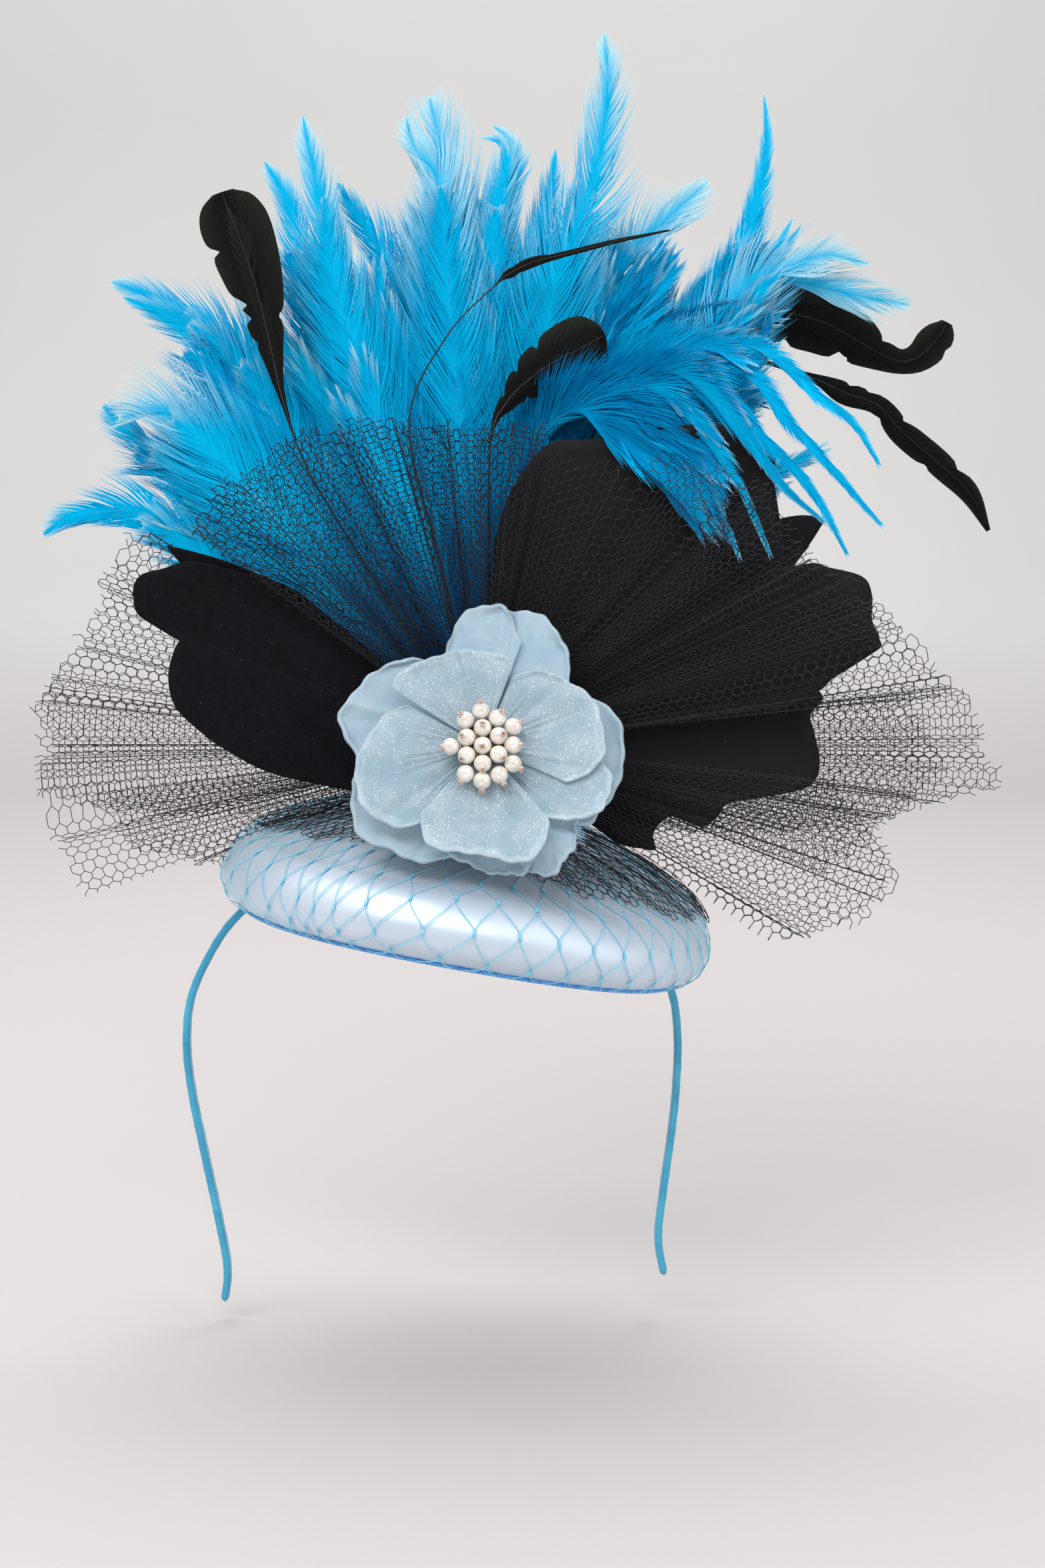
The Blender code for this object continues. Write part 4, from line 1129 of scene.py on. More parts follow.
@dataclass
class NetFan:
    """A pleated fan of real hexagonal net in a few plies, cut ragged at the rim."""

    node: str
    layer: Layer
    pleats: int
    depth: float
    outline: Outline
    plies: int = 2
    fullness: float = 1.35
    bunch: float = 0.85
    cell: float = 2.4
    radius: float = 0.15
    start: float = 9.0
    own_node: bool = True
    # Nearer the post than this, the rows of cells give way to long gathered threads
    gathered: float = 36.0
    ply_gap: float = 1.3
    torn: float = 0.004

    def build(self, finish: bpy.types.Material, seed: int) -> None:
        """Build the plies of net."""
        angles, reaches = polar_rim(self.outline, 120)
        rng = np.random.default_rng(seed)
        draft = MeshDraft()
        for ply in range(self.plies):
            self.add_ply(draft, angles, reaches, rng, ply)
        draft.build(f"{self.node}_net", finish, "black_net", [self.node] if self.own_node else [])

    def add_ply(
        self, draft: MeshDraft, angles: Array, reaches: Array, rng: np.random.Generator, ply: int,
    ) -> None:
        """Add one ply of net as rods along the edges of its hexagons.

        The ply swings to and fro as it goes round the fan, so that its pleats lie over
        each other with a hard fold at each turn.
        """
        spread = angles[-1] - angles[0]
        far = reaches.max() * 1.01
        width = np.percentile(reaches, 70) * spread * self.fullness
        across_count = max(int(width / (3 * self.cell)), 4)
        radii = [far + 1]
        while radii[-1] > self.gathered:
            radii.append(radii[-1] - self.cell * math.sqrt(3) / 2 * (0.5 + 0.5 * radii[-1] / far))
        radii = np.concatenate([np.linspace(self.start, radii[-1], 4, endpoint=False), radii[::-1]])
        row, column, end = np.meshgrid(
            np.arange(len(radii)), np.arange(across_count), (-0.5, 0.5), indexing="ij",
        )
        flat = (column * 3 + (row % 2) * 1.5 + end + 0.5) / (3 * across_count)
        flat = flat + rng.normal(0, 0.1, flat.shape) / (3 * across_count)
        radius = radii[row] + rng.normal(0, 0.14, flat.shape)
        folds = max(round(self.pleats * 0.8) + ply, 1)
        twist = 0.9 * math.sin(2.6 * ply + self.pleats) * (radius / far - 0.5)
        phase = math.tau * folds * flat + rng.uniform(0, math.tau) + 0.8 * np.sin(
            math.tau * flat * 1.7 + ply
        ) + twist
        swing = self.bunch * (0.75 + 0.35 * np.sin(math.tau * flat * 2.3 + 1.9 * ply))
        pleated = flat + swing * np.sin(phase) / (math.tau * folds)
        low, high = pleated.min(), pleated.max()
        place = (pleated - low) / (high - low)
        angle = angles[0] + spread * place
        reach = np.interp(angle, angles, reaches)
        turn = np.interp(angle, angles, np.linspace(0, 1, len(angles)))
        depth = self.layer.depth(radius)
        share = np.clip(radius / reach, 0, 1)
        depth = depth + np.sin(math.tau * self.pleats * turn) * self.depth * share**1.3
        depth = depth - 1.0 * np.sin(phase) * share + (ply - (self.plies - 1) / 2) * self.ply_gap
        points = FRONT_VIEW.spread(radius, angle, depth)[0]
        limit = reach * (1 + 0.014 * np.sin(flat * 190 + ply) + rng.normal(0, 0.005, reach.shape))
        limit = limit * (1 - 0.02 * np.abs(np.sin(0.5 * phase + ply)))
        inside = radius <= limit
        number = np.arange(points.size // 3).reshape(inside.shape)
        flat_points = points.reshape(-1, 3)
        flat_inside = inside.ravel()
        flat_turn = flat.ravel()
        torn = rng.random(len(flat_inside)) < self.torn
        for first, second in hexagon_pairs(number):
            keep = flat_inside[first] & flat_inside[second] & ~torn[first]
            keep &= np.abs(flat_turn[first] - flat_turn[second]) < 0.4
            draft.add_rods(flat_points[first[keep]], flat_points[second[keep]], self.radius)


@dataclass(frozen=True)
class BarbShape:
    """How a feather's barbs stand on its quill."""

    barbs: int = 160
    start: float = 0.14
    root_angle: float = math.radians(32.0)
    tip_angle: float = math.radians(15.0)
    bend: float = 0.6
    splay: float = 0.09
    droop: float = 0.03
    width: float = 0.85
    taper: tuple[float, float] = (1.0, 0.75)
    clump: int = 7
    quill: float = 0.3
    roll: float = 0.3
    vane: float = 0.0
    vane_stations: int = 20
    vane_columns: int = 4

    def slant(self, share: Array) -> Array:
        """Return the barbs' angle to the quill, by where they leave it."""
        return self.root_angle + (self.tip_angle - self.root_angle) * share**1.5

    def bent(self, angle: Array, part: float) -> Array:
        """Return the angle at which a part of the barb's length lies from its root."""
        return angle * (1 - self.bend * part / 2)


def quill_axes(path: Array) -> tuple[Array, Array, Array]:
    """Return the ways along a quill, out of its feather's face, and to its side."""
    along = unit(np.gradient(path, axis=0))
    facing = unit(TOWARD - along * (along @ TOWARD)[:, None])
    return along, facing, np.cross(along, facing)


def spread_marks(shape: tuple[int, ...], **marks: object) -> dict[str, Array]:
    """Return the marks with a value for every point of a grid of this shape."""
    return {name: np.broadcast_to(values, shape) for name, values in marks.items()}


def add_feather(
    draft: MeshDraft,
    quills: MeshDraft,
    vanes: MeshDraft,
    path: Array,
    lengths: Array,
    shape: BarbShape,
    rng: np.random.Generator,
    tone: float,
) -> None:
    """Add a feather: a tapering quill, barbs on both its sides, and a closed inner vane.

    Args:
        draft: Takes the barbs.
        quills: Takes the quill.
        vanes: Takes the vane, where the barbs hook together.
        path: Points along the quill, from root to tip.
        lengths: The barbs' length at each point of the path.
        shape: How the barbs stand.
        rng: Source of the feather's own unevenness.
        tone: From 0, dark, to 1, pale.
    """
    count = shape.barbs
    stations = np.linspace(0, 1, len(path))
    along, flat, level = quill_axes(path)
    roll = rng.normal(0, shape.roll)
    facing = flat * math.cos(roll) + level * math.sin(roll)
    side = level * math.cos(roll) - flat * math.sin(roll)
    share = np.linspace(shape.start, 1.0, count)
    grids = (path, along, facing, side)
    pick = [np.stack([np.interp(share, stations, column) for column in grid.T], axis=1) for grid in grids]
    root, ahead, face, beside = pick
    length = np.interp(share, stations, lengths)
    reach = np.array([0.0, 0.5, 1.0])
    for way in (-1.0, 1.0):
        spots = (np.arange(count) + rng.integers(shape.clump)) // shape.clump
        clump = rng.normal(0, 1, count // shape.clump + 2)[spots]
        angle = shape.slant(share) * (1 + 0.1 * clump + rng.normal(0, 0.05, count))
        size = length * (1 + 0.05 * clump + rng.normal(0, 0.06, count))
        lift = shape.splay * (0.55 * clump + rng.normal(0, 0.5, count))
        rows = []
        for index, part in enumerate(reach):
            bent = shape.bent(angle, part)
            step = ahead * np.cos(bent)[:, None] + beside * (way * np.sin(bent))[:, None]
            point = root + step * (size * part)[:, None] + face * (lift * size * part**1.6)[:, None]
            point = point - np.array([0.0, 0.0, 1.0]) * (shape.droop * size * part**2)[:, None]
            if index == 2:
                rows.append(point)
                continue
            wide = beside * (way * np.cos(bent))[:, None] - ahead * np.sin(bent)[:, None]
            half = wide * (shape.width / 2 * shape.taper[index])
            rows += [point - half, point + half]
        points = np.stack(rows, axis=1)
        base = np.arange(count)[:, None] * 5
        marks = spread_marks(
            (count, 5),
            along=reach[[0, 0, 1, 1, 2]],
            rise=share[:, None],
            tone=np.clip(tone + 0.07 * clump[:, None], 0, 1),
            streak=rng.uniform(0, 90, (count, 1)),
        )
        draft.add(points, [base + [[0, 1, 3, 2]], base + [[2, 3, 4]]], **marks)
        if shape.vane > 0:
            add_vane(vanes, pick, length, shape, way, tone, share)
    quills.add_tube(path[::2], shape.quill * (1.05 - 0.85 * stations[::2]), 4, TOWARD)


def add_vane(
    draft: MeshDraft,
    pick: list[Array],
    length: Array,
    shape: BarbShape,
    way: float,
    tone: float,
    share: Array,
) -> None:
    """Add one side of a feather's closed vane, slightly hollow, with its barbs' slant.

    Args:
        draft: Takes the vane.
        pick: Root, ahead, face and beside of every barb.
        length: The barbs' length.
        shape: How the barbs stand.
        way: -1 or 1 for the side of the quill.
        tone: From 0, dark, to 1, pale.
        share: Where each barb leaves the quill, from 0 to 1.
    """
    few = np.linspace(0, len(share) - 1, shape.vane_stations).astype(int)
    root, ahead, face, beside = (grid[few] for grid in pick)
    angle = shape.slant(share[few])
    rows = []
    parts = np.linspace(0, shape.vane, shape.vane_columns)
    for part in parts:
        bent = shape.bent(angle, part)
        step = ahead * np.cos(bent)[:, None] + beside * (way * np.sin(bent))[:, None]
        rows.append(
            root + step * (length[few] * part)[:, None] - face * (0.1 * length[few] * part**2 + 0.2)[:, None]
        )
    points = np.stack(rows, axis=1)
    far = np.cumsum(np.linalg.norm(np.diff(root, axis=0, prepend=root[:1]), axis=1))
    streak = far[:, None] * 1.1 + 37 * tone
    marks = spread_marks(points.shape[:2], along=parts, rise=share[few][:, None], tone=tone, streak=streak)
    draft.add_grid(points, **marks)


@dataclass
class HacklePlume:
    """The plume of blue hackles, thick in the middle and wispy at the edge."""

    stations: int = 30
    body_copies: int = 6
    sweeping_copies: int = 6
    outer_copies: int = 3
    falling_copies: int = 5
    # Angle of a barb that its length is taken from, by the half width that it has to fill
    width_angle: float = math.radians(15.0)
    body_shape: BarbShape = BarbShape(tip_angle=math.radians(14.0), vane=0.45)
    fall_shape: BarbShape = BarbShape(
        root_angle=math.radians(24.0), tip_angle=math.radians(14.0), splay=0.05, vane=0.3, width=0.7,
        roll=0.15,
    )
    edge_shape: BarbShape = BarbShape(
        barbs=210,
        start=0.3,
        root_angle=math.radians(44.0),
        tip_angle=math.radians(20.0),
        splay=0.06,
        width=0.42,
        taper=(1.0, 0.85),
        roll=0.15,
        vane=0.14,
    )
    # Each feather at the edge: its visible quill up to the tip, its half width, and its tone
    outer: tuple[tuple[Outline, float, float], ...] = (
        ([(-90, 67), (-101, 73), (-115, 76.5), (-132, 75), (-143, 69)], 8, 0.4),
        ([(-90, 87), (-102, 91.5), (-112, 100), (-123.5, 110.5)], 9, 0.5),
        ([(-84, 96), (-96, 106), (-106, 109), (-118, 107)], 11, 0.8),
        ([(-73, 120), (-82, 130.5), (-94, 138), (-107.5, 146), (-120.6, 151)], 9, 0.6),
        ([(-76, 118), (-86, 129), (-101, 139), (-117, 146)], 7, 0.5),
        ([(-74, 106), (-84, 118), (-90, 124), (-97, 127)], 12, 0.2),
        ([(-57, 150), (-60, 165), (-64, 178), (-71, 190)], 8, 0.5),
        ([(-49, 150), (-51, 163), (-54, 182), (-57, 196), (-58.6, 205)], 8, 0.8),
        ([(-25, 142), (-33, 161), (-40, 171), (-47, 183)], 8, 0.35),
        ([(-8, 160), (-11, 177), (-13, 191), (-15.6, 204), (-17.2, 211)], 13, 0.95),
        ([(-12, 165), (-14, 184), (-22, 194), (-25, 205)], 9, 0.9),
        ([(-18, 150), (-19, 164), (-18.5, 181)], 5, 0.3),
        ([(4, 160), (5.6, 180), (8.2, 189.6), (6.9, 195.4), (3.6, 198), (0, 198)], 7, 0.7),
        ([(6, 168), (10, 182), (11.4, 188), (10, 195.5), (3.6, 202)], 7, 0.7),
        ([(15, 150), (19, 168), (22, 181), (23.8, 194)], 6.5, 0.45),
        ([(25, 150), (33, 170), (38, 193), (41, 213), (39.6, 231.7)], 9.5, 0.8),
        ([(43, 152), (58, 169.6), (66, 177), (73, 183.5)], 11, 0.85),
        ([(79, 150), (87, 169), (90.8, 183), (92.7, 198), (91.7, 212)], 5, 0.5),
        ([(84, 148), (93, 158), (101, 171.5)], 5, 0.5),
        ([(88, 150), (95, 158), (104, 169.6)], 5, 0.6),
        ([(84, 148), (97, 154), (110, 160), (126, 157)], 8, 0.9),
        ([(86, 145), (102, 151), (120.6, 147), (139, 143.7)], 10, 0.9),
    )
    # The dense body: angle round the post, and reach
    body: Outline = (
        (147, 104), (141, 116), (135, 128), (129, 138), (123, 142), (114, 150), (109, 158), (103, 154),
        (98, 158), (93, 164), (88, 166), (83, 160), (78, 160), (73, 162), (68, 168), (63, 178),
        (59, 176), (55, 158), (50, 148),
    )
    # Feathers that fall forward over the top of the black petal
    falling: tuple[Outline, ...] = (
        [(5, 27), (14, 85), (28, 110), (45, 103), (60, 90), (76, 72)],
        [(6, 27), (17, 88), (36, 114), (56, 104), (72, 88), (83, 63)],
        [(7, 28), (20, 92), (46, 118), (68, 106), (82, 88), (93, 64)],
        [(8, 28), (24, 96), (58, 122), (80, 108), (97, 86), (110, 74)],
        [(8, 28), (28, 98), (66, 124), (88, 104), (106, 85), (118, 64)],
        [(9, 28), (32, 100), (76, 126), (98, 108), (114, 90), (129, 73)],
        [(10, 28), (36, 102), (84, 130), (104, 118), (120, 106), (128.5, 93)],
    )
    falling_depths: tuple[float, ...] = (8.0, -9.0, -26.0, -33.0, -35.0)
    # Feathers of the body that sweep over to the right
    sweeping: tuple[Outline, ...] = (
        [(6, 27), (16, 80), (34, 120), (50, 143), (62, 160)],
        [(7, 27), (20, 80), (44, 118), (66, 142), (82, 161)],
        [(8, 27), (24, 78), (54, 114), (76, 134), (88, 150)],
        [(8, 27), (28, 78), (62, 110), (80, 124), (90, 136)],
        [(9, 27), (30, 76), (66, 104), (80, 112), (90, 116)],
        [(8, 27), (22, 82), (48, 122), (68, 130), (84, 134)],
    )

    def build(self) -> None:
        """Build the plume in four bunches, with the closed vanes of all in one piece."""
        material = HACKLE.material()
        quill = BLUE_QUILL.material()
        rng = np.random.default_rng(11)
        vanes = MeshDraft()
        for name, shape, tip, paths in (
            ("plume_body", self.body_shape, 0.3, self.body_paths(rng)),
            ("plume_sweep", self.body_shape, 0.25, self.sweeping_paths(rng)),
            ("plume_edge", self.edge_shape, 0.02, self.outer_paths(rng)),
            ("plume_fall", self.fall_shape, 0.2, self.falling_paths(rng)),
        ):
            draft = MeshDraft()
            quills = MeshDraft()
            for rows, width, tone in paths:
                path = FRONT_VIEW.place(*smooth_curve(rows, self.stations).T)
                place = np.linspace(0, 1, self.stations)
                narrow = (1 - place**3.0) ** 0.95 if shape is not self.edge_shape else (1 - place**5) ** 0.9
                taper = np.clip((place - 0.06) / 0.3, 0, 1) ** 0.6 * ((1 - tip) * narrow + tip)
                tone = float(np.clip(tone + rng.normal(0, 0.05), 0.0, 1.0))
                add_feather(draft, quills, vanes, path, taper * width, shape, rng, tone)
            draft.build(name, material, "hackle", ["hackle_plume"] if name == "plume_body" else [])
            quills.build(f"{name}_quills", quill, "hackle", [])
        vanes.build("plume_vanes", material, "hackle", [])

    def sweeping_paths(self, rng: np.random.Generator) -> list[tuple[Array, float, float]]:
        """Return the path, barb length and tone of each feather that sweeps to the right."""
        paths = []
        for index, rows in enumerate(self.sweeping):
            for copy in range(self.sweeping_copies):
                line = np.array(rows, dtype=float)
                line[1:] += (rng.normal(0, 2.0, (4, 2)) + rng.normal(0, 3.0, 2)) * (copy > 0)
                line[-1] = line[-2] + (line[-1] - line[-2]) * rng.uniform(0.5, 1.0)
                tilt = 0.2 + 0.015 * math.sin(2.1 * index) + rng.normal(0, 0.02)
                paths.append(
                    (self.with_depths(list(line), tilt), rng.uniform(24, 34), rng.uniform(0.05, 0.25)),
                )
        return paths

    def outer_paths(self, rng: np.random.Generator) -> list[tuple[Array, float, float]]:
        """Return the path, barb length and tone of each feather at the plume's edge."""
        paths = []
        for index, (points, width, tone) in enumerate(self.outer):
            line = np.array(points, dtype=float)
            lean = 0.24 + 0.045 * math.sin(2.4 * index)
            for copy in range(self.outer_copies):
                ends = line
                if copy > 0:
                    share = rng.uniform(0.15, 0.6)
                    ends = smooth_curve(points, 20)[: max(int(20 * share), 4)]
                    ends = ends[[0, len(ends) // 2, len(ends) - 1]] + rng.normal(0, 3.5, 2)
                start = ends[0] * (16.0 / np.linalg.norm(ends[0]))
                rows = [start, ends[0] * 0.6, *ends]
                long = width / math.sin(self.width_angle) * (1.0 if copy == 0 else 1.1)
                paths.append(
                    (self.with_depths(rows, lean + rng.normal(0, 0.01)), long, tone * (1 - 0.3 * copy)),
                )
        return paths

    def body_paths(self, rng: np.random.Generator) -> list[tuple[Array, float, float]]:
        """Return the path, barb length and tone of each feather in the plume's body."""
        paths = []
        for index, (angle, reach) in enumerate(self.body):
            for _ in range(self.body_copies):
                turn = math.radians(angle + rng.normal(0, 2.6))
                bow = math.radians(rng.normal(0, 8.0))
                far = reach * rng.uniform(0.74, 1.0)
                rows = []
                for share in (0.12, 0.45, 0.75, 1.0):
                    way = turn + bow * (share - 0.6)
                    rows.append(np.array([math.cos(way), math.sin(way)]) * far * share)
                tilt = 0.24 + 0.02 * math.sin(1.7 * index) + rng.normal(0, 0.02)
                paths.append((self.with_depths(rows, tilt), rng.uniform(27, 38), rng.uniform(0.22, 0.42)))
        return paths

    def falling_paths(self, rng: np.random.Generator) -> list[tuple[Array, float, float]]:
        """Return the path, barb length and tone of each feather that falls forward."""
        paths = []
        for rows in self.falling:
            for copy in range(self.falling_copies):
                line = np.array(rows, dtype=float)
                loose = 0.0 if copy == 0 else 1.0
                line[1:] += (rng.normal(0, 1.6, (5, 2)) + rng.normal(0, 2.0, 2)) * loose
                depths = np.array([-7.0, *self.falling_depths]) + rng.normal(0, 1.3)
                whole = smooth_curve(np.column_stack([line, depths]), 40)
                limit = rng.uniform(70, 92) if copy else 200.0
                whole = whole[: max(int(np.sum(whole[:, 0] < limit)), 26)]
                wide = rng.uniform(24, 32) if copy else 17.0
                paths.append((whole[::3], wide, rng.uniform(0.0, 0.14) if copy else 0.3))
        return paths

    @staticmethod
    def with_depths(rows: list[Array], tilt: float) -> Array:
        """Add to each (across, up) its depth in the plume."""
        flat = np.array(rows)
        depth = Layer.PLUME.value[0] + tilt * np.hypot(flat[:, 0], flat[:, 1])
        return np.column_stack([flat, depth])


@dataclass
class CoqueFeathers:
    """The black feathers: a bare quill that widens into a glossy vane."""

    stations: int = 110
    columns: int = 11
    splits: int = 7
    shape: BarbShape = BarbShape(
        barbs=190,
        start=0.0,
        root_angle=math.radians(46.0),
        tip_angle=math.radians(24.0),
        bend=0.35,
        splay=0.04,
        droop=0.0,
        width=1.0,
        taper=(1.0, 0.9),
        clump=11,
        quill=0.5,
        roll=0.0,
    )
    # Each feather: node, layer, and (across, up, width) from the post to the tip
    feathers: tuple[tuple[str, Layer, list[tuple[float, float, float]]], ...] = (
        (
            "coque_left", Layer.BACK,
            [
                (-4, 6.2, 0), (-30, 46, 0), (-56, 88, 0), (-65, 112, 2), (-68.5, 127, 7),
                (-71.5, 140, 13.5), (-75, 153, 19), (-79, 165, 22), (-82, 172, 22), (-84, 177.5, 17),
                (-85, 180.5, 7),
            ],
        ),
        (
            "coque_middle", Layer.BACK,
            [
                (0.6, 7.4, 0), (2, 50, 0), (2.5, 98, 0.5), (8, 112, 6), (16, 120, 14), (24, 125.5, 19),
                (31, 129, 21), (35.5, 131.5, 19), (38.5, 133, 12), (40, 133.6, 4),
            ],
        ),
        (
            "coque_thin", Layer.BACK,
            [
                (-1.6, 7.2, 0), (-14, 60, 0), (-24, 105, 0), (-12, 133, 0), (4, 150, 0.4),
                (9, 154, 3.4), (16, 157.5, 3.4), (26, 160, 2), (42, 164, 1.6), (61, 168, 0.6),
            ],
        ),
        (
            "coque_curled", Layer.REAR,
            [
                (2.8, 6.8, 0), (30, 76, 0), (62, 122, 1), (88, 141.5, 17), (99, 141, 22),
                (110, 138.4, 22), (120, 133.4, 19), (129, 128, 12), (136, 125.2, 8.5), (142, 126.4, 10),
                (147, 131, 12.5), (150, 135, 10), (151.5, 138, 4),
            ],
        ),
        (
            "coque_low", Layer.REAR,
            [
                (4.4, 5.9, 0), (36, 74, 0), (66, 112, 0.5), (86, 125, 1), (107, 120, 3), (118, 115, 8),
                (129, 111, 7), (137, 102, 9), (150, 91, 9), (159, 82, 7), (165, 70, 1.6),
            ],
        ),
    )

    def build(self) -> None:
        """Build every black feather with its vane and its quill."""
        material = COQUE.material()
        quill = QUILL.material()
        rng = np.random.default_rng(23)
        for name, layer, rows in self.feathers:
            line = smooth_curve(rows, self.stations)
            depth = layer.depth(np.hypot(line[:, 0], line[:, 1]))
            path = FRONT_VIEW.place(line[:, 0], line[:, 1], depth)
            widths = np.maximum(line[:, 2], 0)
            draft = MeshDraft()
            quills = MeshDraft()
            inner = 1 - smooth_step(np.linspace(0, 1, len(path)), 0.8, 0.95)
            add_feather(draft, quills, draft, path, widths * 0.6 * inner, self.shape, rng, 0.5)
            self.add_blade(draft, path, widths, rng)
            draft.build(f"{name}_vane", material, "coque", [name])
            quills.build(f"{name}_quill", quill, "coque", [])

    def add_blade(self, draft: MeshDraft, path: Array, widths: Array, rng: np.random.Generator) -> None:
        """Add the closed vane on both sides of the quill, with a few splits in its edges."""
        _, facing, side = quill_axes(path)
        across = np.linspace(-1, 1, self.columns)
        edge = np.ones((len(path), len(across)))
        for _ in range(self.splits):
            spot, way = rng.integers(66, len(path) - 9), rng.choice([-1.0, 1.0])
            gap = np.arange(len(path))[:, None] - spot - 5.0 * np.abs(across)[None]
            split = np.exp(-np.abs(gap) / 0.6)
            edge = edge - rng.uniform(0.2, 0.55) * split * np.clip(across * way, 0, 1)[None] ** 2
        offset = across[None] * edge * widths[:, None] / 2
        sag = 0.16 * np.abs(offset) * np.abs(across)[None]
        points = path[:, None] + side[:, None] * offset[..., None] - facing[:, None] * sag[..., None]
        far = np.linspace(0, np.linalg.norm(np.diff(path, axis=0), axis=1).sum(), len(path))
        streak = (far[:, None] - np.abs(offset) * 1.2) * 1.6 + 40 * (across[None] > 0)
        rise = np.linspace(0.3, 1, len(path))[:, None]
        draft.add_grid(
            points,
            **spread_marks(offset.shape, along=np.abs(across), rise=rise, tone=0.4, streak=streak),
        )


